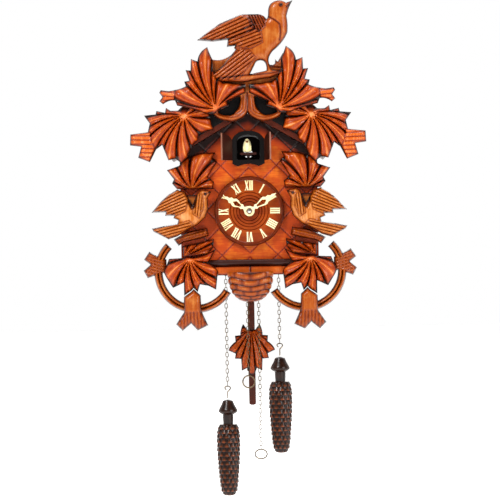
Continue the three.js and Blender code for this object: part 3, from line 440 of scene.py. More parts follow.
def surface(tree: bpy.types.NodeTree, inputs: dict, links: dict) -> None:
    """Adds the shader, with its values and links, and the material's output."""
    shader = add(tree, "ShaderNodeBsdfPrincipled", inputs, links)
    add(tree, "ShaderNodeOutputMaterial", links={"Surface": shader.outputs[0]})


def ramp(tree: bpy.types.NodeTree, factor: bpy.types.NodeSocket,
         stops: Sequence[tuple[float, str]]) -> bpy.types.NodeSocket:
    """Gives a colour that passes through the stops as the factor goes from 0 to 1."""
    node = add(tree, "ShaderNodeValToRGB", links={"Fac": factor})
    elements = node.color_ramp.elements
    while len(elements) < len(stops):
        elements.new(0.5)
    for element, (place, colour) in zip(elements, stops):
        element.position = place
        element.color = linear(colour)
    return node.outputs["Color"]


EVEN_STAIN = 0.42  # how dark plain stained wood is, as a stain and shade value


@dataclass(frozen=True)
class Lacquer:
    """Linden wood under a thin clear lacquer, stained; where it is carved, the valleys and edges are darker,
    partly stain and partly painted shade, and the ridges lighter, partly thin stain and partly a painted
    highlight.
    """

    name: str
    worn_ridge_and_highlight: str  # the ridges: lighter where the stain is thin, and a painted highlight
    bright: str  # beside the ridges
    body: str
    burnt: str  # the valleys and the edges: partly dark stain, partly painted shade
    carved: bool = True  # whether the piece carries its own stain and shade values
    along: str = "Z"  # the way the grain runs
    grain_mm: float = 1.1
    roughness: float = 0.34
    coat: float = 0.2
    shine: float = 0.18  # the wood's own gloss under the coat

    def material(self) -> bpy.types.Material:
        """Builds the wood: thin dark pores along the grain, blotches of stain, a gloss coat."""
        material, tree = new_material(self.name)
        place = add(tree, "ShaderNodeTexCoord").outputs["Object"]
        across, length = 1 / (self.grain_mm * MM), 1 / (18 * self.grain_mm * MM)
        scale = {"X": (length, across, across), "Z": (across, across, length)}[self.along]
        stretched = add(tree, "ShaderNodeMapping", {"Scale": scale}, {"Vector": place})
        grain = add(tree, "ShaderNodeTexNoise", {"Scale": 1.0, "Detail": 3.0, "Distortion": 0.4},
                    {"Vector": stretched.outputs["Vector"]}).outputs["Fac"]
        stain = math_node(tree, "MULTIPLY_ADD", {0: grain}, {1: 0.26, 2: -0.13})
        patch = math_node(tree, "MULTIPLY_ADD", {0: noise(tree, 9, 2.0), 2: stain}, {1: 0.3})
        if self.carved:
            # the carving's stain, with painted shade in its valleys and at its edges and a painted highlight
            # on its ridges
            burn = add(tree, "ShaderNodeAttribute", attribute_name="burn").outputs["Fac"]
            tone = math_node(tree, "ADD", {0: burn, 1: patch}, {})
        else:
            tone = math_node(tree, "ADD", {0: patch}, {1: EVEN_STAIN})
        shade = math_node(tree, "ADD", {0: tone}, {1: -0.15}, use_clamp=True)
        colour = ramp(tree, shade, [(0.0, self.worn_ridge_and_highlight), (0.16, self.bright), (0.45, self.body),
                                    (0.85, self.burnt)])
        surface(tree, {"Roughness": self.roughness, "IOR": 1.5, "Specular IOR Level": self.shine,
                       "Coat Weight": self.coat, "Coat Roughness": 0.15, "Coat IOR": 1.5},
                {"Base Color": colour, "Normal": bumpy(tree, grain, 0.22, 0.12)})
        return material


@dataclass(frozen=True)
class Moulded:
    """Injection-moulded plastic: one colour, with the mould's fine grain."""

    name: str
    colour: str
    shade: str
    roughness: float = 0.35
    grit_mm: float = 0.35
    bump: float = 0.08
    shine: float = 0.5

    def material(self) -> bpy.types.Material:
        """Builds the plastic: a barely uneven colour over a fine grain."""
        material, tree = new_material(self.name)
        colour = ramp(tree, noise(tree, 12, 2.0), [(0.3, self.colour), (0.75, self.shade)])
        grit = noise(tree, self.grit_mm, 2.0)
        surface(tree, {"Roughness": self.roughness, "IOR": 1.49, "Specular IOR Level": self.shine},
                {"Base Color": colour, "Normal": bumpy(tree, grit, self.bump, 0.1)})
        return material


@dataclass(frozen=True)
class PineCone(Moulded):
    """Glossy brown-black moulded plastic whose raised scale edges are rubbed with a warm stain."""

    rubbed: str = "#8a4526"

    def material(self) -> bpy.types.Material:
        """Builds the cone: the stain and shade value is low on the scales' edges, which are lighter."""
        material, tree = new_material(self.name)
        cloud = noise(tree, 5, 3.0)
        burn = add(tree, "ShaderNodeAttribute", attribute_name="burn").outputs["Fac"]
        tone = math_node(tree, "MULTIPLY_ADD", {0: cloud, 2: burn}, {1: 0.5})
        shade = math_node(tree, "ADD", {0: tone}, {1: -0.25}, use_clamp=True)
        colour = ramp(tree, shade, [(0.0, self.rubbed), (0.45, self.shade), (0.8, self.colour)])
        surface(tree, {"Roughness": self.roughness, "IOR": 1.5, "Specular IOR Level": self.shine,
                       "Coat Weight": 0.12, "Coat Roughness": 0.1},
                {"Base Color": colour, "Normal": bumpy(tree, cloud, self.bump, 0.2)})
        return material


@dataclass(frozen=True)
class Metal:
    """Bare or plated metal: wire, sheet or turned bar, a little dulled."""

    name: str
    colour: str
    dull: str
    roughness: float = 0.32
    streak_mm: float = 0.6

    def material(self) -> bpy.types.Material:
        """Builds the metal: dull patches that also roughen it."""
        material, tree = new_material(self.name)
        dull = noise(tree, self.streak_mm * 6, 3.0)
        rough = math_node(tree, "MULTIPLY_ADD", {0: dull}, {1: 0.2, 2: self.roughness - 0.1})
        surface(tree, {"Metallic": 1.0},
                {"Base Color": ramp(tree, dull, [(0.35, self.colour), (0.7, self.dull)]),
                 "Roughness": rough})
        return material


class Finish(Enum):
    """Each finish on the clock."""

    # carved linden, red-brown lacquer: light orange ridges, partly a painted highlight, and near-black
    # valleys, partly painted shade
    LEAF = Lacquer("lacquered_carved_leaf_linden", "#e69a5c", "#c2560e", "#902e05", "#1a0400")
    # the lighter linden of the two small birds
    BIRD = Lacquer("lacquered_carved_bird_linden", "#e0a068", "#b0601c", "#863a08", "#200600")
    # the browner linden of the large bird, the crest's stems, the twigs and the nest
    TWIG = Lacquer("lacquered_carved_twig_linden", "#bc7434", "#9a4406", "#722804", "#1a0400")
    # the orange-brown front board, scored lines stained darker, with painted shade under the roof and towards
    # its sides
    FRONT = Lacquer("lacquered_front_board", "#dd7418", "#b84206", "#8a2803", "#1c0400", along="X",
                    roughness=0.4, coat=0.12, shine=0.2)
    # dark-stained case sides, floor, rail, back and door leaves
    CASE = Lacquer("dark_stained_case_wood", "#5a1c08", "#3f1205", "#2c0b03", "#100301",
                   carved=False, roughness=0.42, coat=0.12, shine=0.2)
    # red-brown roof boards and pendulum rod
    ROOF = Lacquer("dark_stained_roof_wood", "#8a3208", "#672004", "#481402", "#150300",
                   carved=False, along="X", roughness=0.4, coat=0.15, shine=0.2)
    # pale edge of the cuckoo's door leaves: raw wood, lightened as a painted highlight of the lit edge
    EDGE = Lacquer("door_edge_raw_wood_and_highlight", "#c9a088", "#a67a62", "#805040", "#402018", carved=False,
                   coat=0.1)
    # turned dial of brown-orange stained wood, glossy
    DIAL = Lacquer("turned_stained_dial_wood", "#b5561a", "#9a400c", "#732606", "#180400",
                   along="X", roughness=0.24)
    # painted cuckoo, and moulded hands, numerals, wheels and switch: satin cream
    CREAM = Moulded("satin_cream_plastic", "#f5ecbe", "#e6d79a", 0.38)
    # satin black of the door frame and the speaker; the board in the crest's two gaps is painted shade
    BLACK = Moulded("satin_black_plastic", "#0a0605", "#050303", 0.4, shine=0.15)
    # grey-brown moulded movement
    GREY = Moulded("grey_abs_plastic", "#8b8681", "#777069", 0.42)
    # cell's printed shell, no lettering
    CELL = Moulded("battery_shell_film", "#2f6d4f", "#27583f", 0.28)
    # brown beak paint
    BEAK = Moulded("brown_beak_enamel", "#8a4a20", "#6d3817", 0.4)
    # moulded pine cone of the weights
    CONE = PineCone("moulded_pine_cone_plastic", "#1a0b06", "#40200f", 0.3, 0.5, 0.15, 0.22)
    # bright plated nut, arbor and pendulum hanger
    STEEL = Metal("plated_steel", "#d9d7d2", "#a7a49e", 0.25)
    # dull antiqued bronze chain, hooks and rings
    BRONZE = Metal("antiqued_bronze_wire", "#8f7a5c", "#4c4034", 0.38)

    def dress(self, *pieces: bpy.types.Object) -> None:
        """Gives the pieces this finish, built once."""
        material = bpy.data.materials.get(self.value.name) or self.value.material()
        for piece in pieces:
            piece.data.materials.clear()
            piece.data.materials.append(material)
            for polygon in piece.data.polygons:
                polygon.material_index = 0


def place(piece: bpy.types.Object, finish: Finish, body: str, slot: str,
          *nodes: str) -> bpy.types.Object:
    """Dresses a piece and gives it to a body, in place of CAD nodes where there are any."""
    finish.dress(piece)
    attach(piece, body)
    if nodes:
        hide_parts(*nodes)
    LOG.info("%s: %s, on %s", piece.name, finish.value.name, body)
    return piece


# ---------------------------------------------------------------- reliefs


def soft_step(values: np.ndarray) -> np.ndarray:
    """Goes smoothly from 0 to 1 as a value does."""
    share = np.clip(values, 0, 1)
    return share * share * (3 - 2 * share)


@dataclass
class Fan:
    """A leaf's lobes, gouged by channels that run out from its foot.

    The notches part the lobes. The ridges between channels are sharp and the channels round.
    """

    foot: Sequence[float]
    notches: Points
    rise: float
    channels: int = 3  # an odd number gives each lobe a ridge down its middle
    gouge: float = 0.24
    sweep: float = 0.0  # how far a ray turns, in degrees for each millimetre from the foot
    roll: float = 2.2  # how wide the rounded edge is

    def bearing(self, points: np.ndarray) -> np.ndarray:
        """Gives each point's bearing from the foot, unwound by the sweep, in radians."""
        away = np.asarray(points, float) - np.array(self.foot)
        turn = math.radians(self.sweep) * np.linalg.norm(away, axis=1)
        middle = np.mean(np.asarray(self.notches, float), axis=0) - np.array(self.foot)
        start = math.atan2(middle[1], middle[0])
        angle = np.arctan2(away[:, 1], away[:, 0]) - start + turn
        return (angle + math.pi) % (2 * math.pi) - math.pi

    def __call__(self, points: np.ndarray, away: np.ndarray) -> tuple[np.ndarray, np.ndarray]:
        """Gives the rise and the stain and shade value of front points."""
        marks = np.sort(self.bearing(np.asarray(self.notches, float)))
        marks = np.concatenate([[marks[0] - 0.55], marks, [marks[-1] + 0.55]])
        bearing = np.clip(self.bearing(points), marks[0] + 1e-6, marks[-1] - 1e-6)
        lobe = np.clip(np.searchsorted(marks, bearing) - 1, 0, len(marks) - 2)
        across = (bearing - marks[lobe]) / (marks[lobe + 1] - marks[lobe])
        channel = np.abs(np.cos(math.pi * self.channels * across))
        dome = 1 - np.abs(2 * across - 1) ** 2.4
        reach = np.linalg.norm(points - np.array(self.foot), axis=1)
        open_out = soft_step(reach / 9)
        pillow = 1 - np.exp(-away / self.roll)
        form = 0.42 + 0.58 * dome - self.gouge * channel ** 1.2
        rise = self.rise * pillow * (0.6 + 0.4 * pillow) * (open_out * form + (1 - open_out) * 0.55)
        # the rim, the channels and the valleys between lobes are darkened, partly stain and partly painted
        # shade; the ridges stay light as a painted highlight
        edge = 0.95 * np.exp(-((away / 0.9) ** 1.5))
        burn = edge + open_out * (0.3 * channel ** 1.3 + 0.62 * (1 - dome) ** 0.9)
        return rise, burn + 0.06


@dataclass
class Plain:
    """A rounded, smooth form, as a stem or a bird's body."""

    rise: float
    roll: float = 3.0
    tone: float = 0.16
    # how wide the darker rim at the outline is; the rim is partly stain, partly painted shade
    dark_rim_width: float = 1.0

    def __call__(self, points: np.ndarray, away: np.ndarray) -> tuple[np.ndarray, np.ndarray]:
        """Gives the rise and the stain and shade value of front points."""
        dome = np.sqrt(np.clip(1 - (1 - np.clip(away / self.roll, 0, 1)) ** 2, 0, 1))
        return self.rise * dome, self.tone + 0.9 * np.exp(-((away / self.dark_rim_width) ** 1.5))


@dataclass
class Lines:
    """Long grooves that run with a curve, as on wood fibres, twig ends and mouldings."""

    spine: Points
    pitch: float
    gouge: float
    under: Relief
    area: Points | None = None
    shade: float = 0.45

    def __call__(self, points: np.ndarray, away: np.ndarray) -> tuple[np.ndarray, np.ndarray]:
        """Gives the rise and the stain and shade value of front points."""
        rise, burn = self.under(points, away)
        off = distance_to(points, open_curve(self.spine), closed=False)
        groove = np.abs(np.cos(math.pi * off / self.pitch))
        share = np.ones(len(points))
        if self.area is not None:
            loop = curved(self.area, 1.5)
            share = np.where(inside(points, loop), soft_step(distance_to(points, loop) / 1.2), 0)
        cut = share * (1 - groove) ** 0.8
        return rise - self.gouge * cut * soft_step(away / 1.5), burn + self.shade * cut


@dataclass
class Feathers:
    """A field of long feathers: raised, ended by its own outline and parted by sharp grooves."""

    area: Points
    start: Sequence[float]
    end: Sequence[float]
    pitch: float
    under: Relief
    lift: float = 1.2
    gouge: float = 0.9
    fan: float = 0.0  # how much the grooves spread, as a share for each millimetre
    shade: float = 0.5
    tone: float = 0.05

    def __call__(self, points: np.ndarray, away: np.ndarray) -> tuple[np.ndarray, np.ndarray]:
        """Gives the rise and the stain and shade value of front points."""
        rise, burn = self.under(points, away)
        loop = curved(self.area, 1.0)
        within = inside(points, loop)
        off = distance_to(points, loop)
        start, end = np.array(self.start, float), np.array(self.end, float)
        along = (end - start) / np.linalg.norm(end - start)
        along_by = (points - start) @ along
        across_by = (points - start) @ np.array([-along[1], along[0]])
        phase = across_by / (self.pitch * np.maximum(0.3, 1 + self.fan * along_by))
        saw = phase - np.floor(phase)
        groove = np.exp(-((np.minimum(saw, 1 - saw) / 0.16) ** 2))
        dome = np.sin(math.pi * saw)
        edge = soft_step(away / 1.6)
        share = np.where(within, soft_step(off / 0.9), 0)
        form = self.lift * share + self.gouge * share * (0.55 * dome - groove)
        dark = np.where(within, self.shade * groove + self.tone, 0)
        rim = 0.55 * np.exp(-((off / 0.7) ** 2)) * ~within
        return rise + form * edge, burn + dark * share + rim * edge


@dataclass
class Boss:
    """A small raised dark round with a groove about it, as an eye."""

    centre: Sequence[float]
    radius: float
    lift: float
    under: Relief

    def __call__(self, points: np.ndarray, away: np.ndarray) -> tuple[np.ndarray, np.ndarray]:
        """Gives the rise and the stain and shade value of front points."""
        rise, burn = self.under(points, away)
        off = np.linalg.norm(points - np.array(self.centre), axis=1)
        dome = np.sqrt(np.clip(1 - (off / self.radius) ** 2, 0, 1))
        groove = np.exp(-(((off - self.radius * 1.25) / 0.45) ** 2))
        burn = np.where(off < self.radius, 1.0, burn + 0.5 * groove)
        return rise + self.lift * dome - 0.45 * groove, burn


@dataclass
class Hollow:
    """A sunk dark place inside an outline, as between two wings."""

    area: Points
    depth: float
    under: Relief
    tone: float = 0.6
    edge: float = 1.4

    def __call__(self, points: np.ndarray, away: np.ndarray) -> tuple[np.ndarray, np.ndarray]:
        """Gives the rise and the stain and shade value of front points."""
        rise, burn = self.under(points, away)
        loop = curved(self.area, 1.0)
        share = np.where(inside(points, loop), soft_step(distance_to(points, loop) / self.edge), 0)
        return rise - self.depth * share, burn * (1 - 0.3 * share) + self.tone * share


@dataclass
class Score:
    """Narrow V cuts along open lines."""

    lines: Sequence[Points]
    width: float
    depth: float
    under: Relief
    tone: float = 0.8

    def __call__(self, points: np.ndarray, away: np.ndarray) -> tuple[np.ndarray, np.ndarray]:
        """Gives the rise and the stain and shade value of front points."""
        rise, burn = self.under(points, away)
        for line in self.lines:
            off = distance_to(points, open_curve(line), closed=False)
            cut = np.exp(-((off / self.width) ** 2))
            rise, burn = rise - self.depth * cut * soft_step(away / 0.8), burn + self.tone * cut
        return rise, burn


@dataclass
class Twig:
    """A lighter cut twig at a leaf's edge: flat, with a few short cuts along it."""

    area: Points
    start: Sequence[float]
    end: Sequence[float]
    under: Relief
    pitch: float = 4.2
    level: float = 4.6

    def __call__(self, points: np.ndarray, away: np.ndarray) -> tuple[np.ndarray, np.ndarray]:
        """Gives the rise and the stain and shade value of front points."""
        rise, burn = self.under(points, away)
        loop = curved(self.area, 1.5)
        share = np.where(inside(points, loop), soft_step(distance_to(points, loop) / 1.6), 0)
        start, end = np.array(self.start, float), np.array(self.end, float)
        along = (end - start) / np.linalg.norm(end - start)
        across = (points - start) @ np.array([-along[1], along[0]])
        saw = across / self.pitch - np.floor(across / self.pitch)
        cut = np.exp(-((np.minimum(saw, 1 - saw) / 0.13) ** 2))
        dome = 1 - np.exp(-away / 1.5)
        flat = self.level * dome - 0.8 * cut * soft_step(away / 1.5)
        tone = 0.14 + 0.5 * cut + 0.9 * np.exp(-((away / 0.9) ** 1.5))
        rim = np.exp(-((distance_to(points, loop) / 0.7) ** 2)) * soft_step(away / 2)
        return rise + (flat - rise) * share - 0.6 * rim, burn + (tone - burn) * share + 0.3 * rim


def open_curve(line: Points, step: float = 1.0) -> np.ndarray:
    """Turns an open line's corners into points, its last one kept."""
    points = curved([*line, line[0]], step)
    last = np.array(line[-1][-2:], float)
    near = int(np.argmin(np.linalg.norm(points - last, axis=1)))
    return points[: near + 1]


# ---------------------------------------------------------------- camera, light and floor


@dataclass
class Studio:
    """The camera in front of the clock, soft lights and a pale floor."""

    aim_mm: Sequence[float] = (0.0, -98.0, -100.0)
    camera_away: float = 2.5  # metres
    view_mm: float = 500.0  # how much shows at the carvings
    sensor_mm: float = 36.0
    roll_degrees: float = 1.0
    floor_z: float = -0.40
    floor_size: float = 14.0
    room_light: float = 0.16  # the room in front of the clock, against 1 for the wall behind it

    def build(self) -> None:
        """Places the camera, the lights, the sky and the floor."""
        self.camera()
        self.lights()
        self.floor()

    def camera(self) -> None:
        """Adds the camera, level with the clock's middle and square to it."""
        data = bpy.data.cameras.new("camera")
        data.sensor_width = self.sensor_mm
        data.lens = self.sensor_mm * self.camera_away / (self.view_mm * MM)
        data.clip_start, data.clip_end = 0.1, 60
        eye = bpy.data.objects.new("camera", data)
        bpy.context.scene.collection.objects.link(eye)
        x, y, z = (value * MM for value in self.aim_mm)
        stand = Matrix.Translation((x, y - self.camera_away, z)) @ Matrix.Rotation(math.pi / 2, 4, "X")
        eye.matrix_world = stand @ Matrix.Rotation(math.radians(-self.roll_degrees), 4, "Z")
        bpy.context.scene.camera = eye

    def lights(self) -> None:
        """Adds a large key light at the upper left, a fill at the right, a light above, one behind, and a pale
        sky.
        """
        for name, spot, size, watts in (
            ("key", (-1.2, -2.0, 1.6), 0.8, 62),
            ("fill", (1.8, -1.8, 0.4), 1.0, 26),
            ("top", (0.2, -0.5, 2.1), 0.9, 22),
            ("behind", (0.3, 2.2, 1.0), 1.6, 20),
        ):
            data = bpy.data.lights.new(name, "AREA")
            data.size, data.energy = size, watts
            lamp = bpy.data.objects.new(name, data)
            bpy.context.scene.collection.objects.link(lamp)
            lamp.location = spot
            towards = Vector((0, 0, -0.1)) - Vector(spot)
            lamp.rotation_euler = towards.to_track_quat("-Z", "Y").to_euler()
        self.sky()

    def sky(self) -> None:
        """Adds a white wall of light behind the clock, and a dimmer room in front of it."""
        world = bpy.data.worlds.new("pale_room")
        world.use_nodes = True
        tree = world.node_tree
        tree.nodes.clear()
        way = add(tree, "ShaderNodeTexCoord").outputs["Generated"]
        parts = add(tree, "ShaderNodeSeparateXYZ", links={0: way})
        share = add(tree, "ShaderNodeMapRange", {1: -0.35, 2: 0.45, 3: self.room_light, 4: 1.0},
                    {0: parts.outputs["Y"]}, interpolation_type="SMOOTHSTEP")
        glow = add(tree, "ShaderNodeBackground", {"Color": linear("#ffffff")},
                   {"Strength": share.outputs[0]})
        add(tree, "ShaderNodeOutputWorld", links={"Surface": glow.outputs[0]})
        bpy.context.scene.world = world
        bpy.context.scene.view_settings.view_transform = "Standard"

    def floor(self) -> None:
        """Adds the pale floor below the clock."""
        bpy.ops.object.select_all(action="DESELECT")
        bpy.ops.mesh.primitive_plane_add(size=self.floor_size, location=(0, 0, self.floor_z))
        ground = bpy.context.active_object
        ground.name = "floor"
        material, tree = new_material("pale_floor_paint")
        place_node = add(tree, "ShaderNodeTexCoord")
        mottle = add(tree, "ShaderNodeTexNoise", {"Scale": 3.0}, {"Vector": place_node.outputs["Object"]})
        colour = ramp(tree, mottle.outputs["Fac"], [(0.2, "#f6f5f3"), (0.8, "#fbfaf8")])
        shader = add(tree, "ShaderNodeBsdfPrincipled",
                     {"Roughness": 0.8, "Emission Color": linear("#ffffff"), "Emission Strength": 0.45},
                     {"Base Color": colour})
        add(tree, "ShaderNodeOutputMaterial", links={"Surface": shader.outputs[0]})
        ground.data.materials.append(material)


# ---------------------------------------------------------------- chains and weights


@dataclass
class Chain:
    """One strand of chain, with the hook or the ring at its lower end."""

    strand: str  # the CAD node
    end: str
    end_is_ring: bool
    body: str
    end_body: str
    wire_mm: float = 0.66
    link_width: float = 3.4
    pitch: float = 4.15
    end_wire: float = 1.3

    def build(self) -> None:
        low, high = box_mm(self.strand)
        x, y = (low[:2] + high[:2]) / 2
        chain = self.links(x, y, low[2], high[2])
        place(chain, Finish.BRONZE, self.body, "bronze", self.strand)
        fitting = self.ring() if self.end_is_ring else self.hook()
        place(fitting, Finish.BRONZE, self.end_body, "bronze", self.end)

    def links(self, x: float, y: float, bottom: float, top: float) -> bpy.types.Object:
        """Makes a pair of crossed oval links and repeats it down the strand."""
        pairs = max(1, round((top - bottom) / (2 * self.pitch)))
        step = (top - bottom) / (2 * pairs)
        straight = (step + 2 * self.wire_mm - self.link_width) / 2
        links = []
        for index in range(2):
            bpy.ops.object.select_all(action="DESELECT")
            bpy.ops.mesh.primitive_torus_add(
                major_segments=12, minor_segments=4, major_radius=(self.link_width - self.wire_mm) / 2 * MM,
                minor_radius=self.wire_mm / 2 * MM, rotation=(math.pi / 2, 0, 0))
            link = settle(bpy.context.active_object)
            bpy.ops.object.mode_set(mode="EDIT")
            bpy.ops.mesh.select_all(action="DESELECT")
            bpy.ops.object.mode_set(mode="OBJECT")
            for vertex in link.data.vertices:
                vertex.select = vertex.co.z > 0
            bpy.ops.object.mode_set(mode="EDIT")
            bpy.ops.transform.translate(value=(0, 0, straight * MM))
            bpy.ops.mesh.select_all(action="INVERT")
            bpy.ops.transform.translate(value=(0, 0, -straight * MM))
            bpy.ops.object.mode_set(mode="OBJECT")
            link.rotation_euler = (0, 0, index * math.pi / 2)
            link.location = (0, 0, -index * step * MM)
            links.append(settle(link))
        chain = joined(f"{self.strand}_links", links)
        array = chain.modifiers.new("repeat", "ARRAY")
        array.count = pairs
        array.use_relative_offset = False
        array.use_constant_offset = True
        array.constant_offset_displace = (0, 0, -2 * step * MM)
        finish_modifiers(chain)
        chain.location = (x * MM, y * MM, (top - step / 2) * MM)
        return smooth(settle(chain), 80)

    def hook(self) -> bpy.types.Object:
        """Bends the wire hook that the weight hangs from."""
        low, high = box_mm(self.end)
        x, y = (low[:2] + high[:2]) / 2
        top, bottom, half = high[2], low[2], (high[0] - low[0] - self.end_wire) / 2
        points = [(x - 0.4 * half, y, top - 4.4), (x - half, y, top - 2.6), (x - 0.5 * half, y, top - 0.65),
                  (x + 0.5 * half, y, top - 0.65), (x + half, y, top - 2.8), (x + 0.4 * half, y, top - 5),
                  (x, y, top - 6.4), (x, y, (top + bottom) / 2), (x, y, bottom + 0.65)]
        return wire(f"{self.end}_wire", points, self.end_wire * 0.92)

    def ring(self) -> bpy.types.Object:
        """Makes the pull ring as a round wire, in the plane that the CAD ring has."""
        low, high = box_mm(self.end)
        centre, spans = (low + high) / 2, high - low
        outer = max(spans)
        tilt = math.atan2(spans[1] - self.end_wire, spans[2] - self.end_wire)
        bpy.ops.object.select_all(action="DESELECT")
        bpy.ops.mesh.primitive_torus_add(
            major_segments=48, minor_segments=10, major_radius=(outer - self.end_wire) / 2 * MM,
            minor_radius=self.end_wire / 2 * MM, rotation=(math.pi / 2 + self.lean * tilt, 0, 0),
            location=tuple(centre * MM))
        ring = bpy.context.active_object
        ring.name = f"{self.end}_wire"
        return smooth(settle(ring), 80)

    @property
    def lean(self) -> int:
        """Which way a tilted ring leans: its foot to the front or the back."""
        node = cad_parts[self.end]
        points = np.array([tuple(v.co) for v in node.data.vertices])
        slope = np.polyfit(points[:, 2], points[:, 1], 1)[0]
        return 1 if slope > 0 else -1


@dataclass
class Weight:
    """One pine-cone weight: a bell cap over ribbed rows of scales."""

    node: str
    body: str
    scale_rows: int = 16
    scales_round: int = 11
    profile: Points = ((0.4, -98), (3.4, -97.6), (6, -96.6), (8.2, -93), (9.3, -86), (10.6, -72), (11.4, -60),
                       (11.9, -49), (11.9, -36), (11, -30), (9.2, -25.4))
    cap: Points = ((5.0, -26.0), (5.4, -19), (5.4, -15.5), (8.6, -13.6), (9.6, -12.3), (9.7, -11.6), (8.6, -9),
                   (6.6, -5.5), (5, -1.6), (2.7, -0.3), (0.6, -0.1))

    def build(self) -> None:
        """Makes the scaled cone and its cap, and joins them."""
        low, high = box_mm(self.node)
        centre = ((low[0] + high[0]) / 2, (low[1] + high[1]) / 2, high[2])
        cap = turned(f"{self.node}_cap", self.cap, 40, centre=centre)
        tones = cap.data.attributes.new("burn", "FLOAT", "POINT")
        tones.data.foreach_set("value", [0.75] * len(cap.data.vertices))
        cone = joined(f"{self.node}_pine_cone", [self.scales(centre), cap])
        place(cone, Finish.CONE, self.body, "cone_plastic", self.node)

    def scales(self, centre: Sequence[float]) -> bpy.types.Object:
        """Makes the cone's body, its scales in staggered rows standing out at their tips."""
        sides, rings = 132, 150
        radii, heights = np.array(self.profile).T
        levels = np.linspace(heights[0], heights[-1], rings)
        around = np.arange(sides) / sides * 2 * math.pi
        level, turn = np.meshgrid(levels, around, indexing="ij")
        row = (level - heights[0]) / (heights[-1] - heights[0]) * self.scale_rows
        across = turn / (2 * math.pi) * self.scales_round + 0.5 * (np.floor(row) % 2)
        up = row - np.floor(row)
        side = np.abs(2 * (across - np.floor(across)) - 1)
        tip = 1 - np.clip(side ** 2 * 0.75 + up * 0.9, 0, 1)
        flare = 1.15 * tip ** 0.7
        radius = np.maximum(np.interp(level, heights, radii) - 0.75 + flare, 0.2)
        x = centre[0] + radius * np.cos(turn)
        y = centre[1] + radius * np.sin(turn)
        verts = np.stack([x, y, centre[2] + level], axis=-1).reshape(-1, 3)
        faces = []
        for i in range(rings - 1):
            for j in range(sides):
                k = (j + 1) % sides
                faces.append([i * sides + j, i * sides + k, (i + 1) * sides + k, (i + 1) * sides + j])
        faces += [list(range(sides))[::-1], [(rings - 1) * sides + j for j in range(sides)]]
        return smooth(mesh_object(f"{self.node}_scales", verts, faces, burn=(1.0 - 0.95 * tip).ravel()), 60)


# ---------------------------------------------------------------- carved pieces


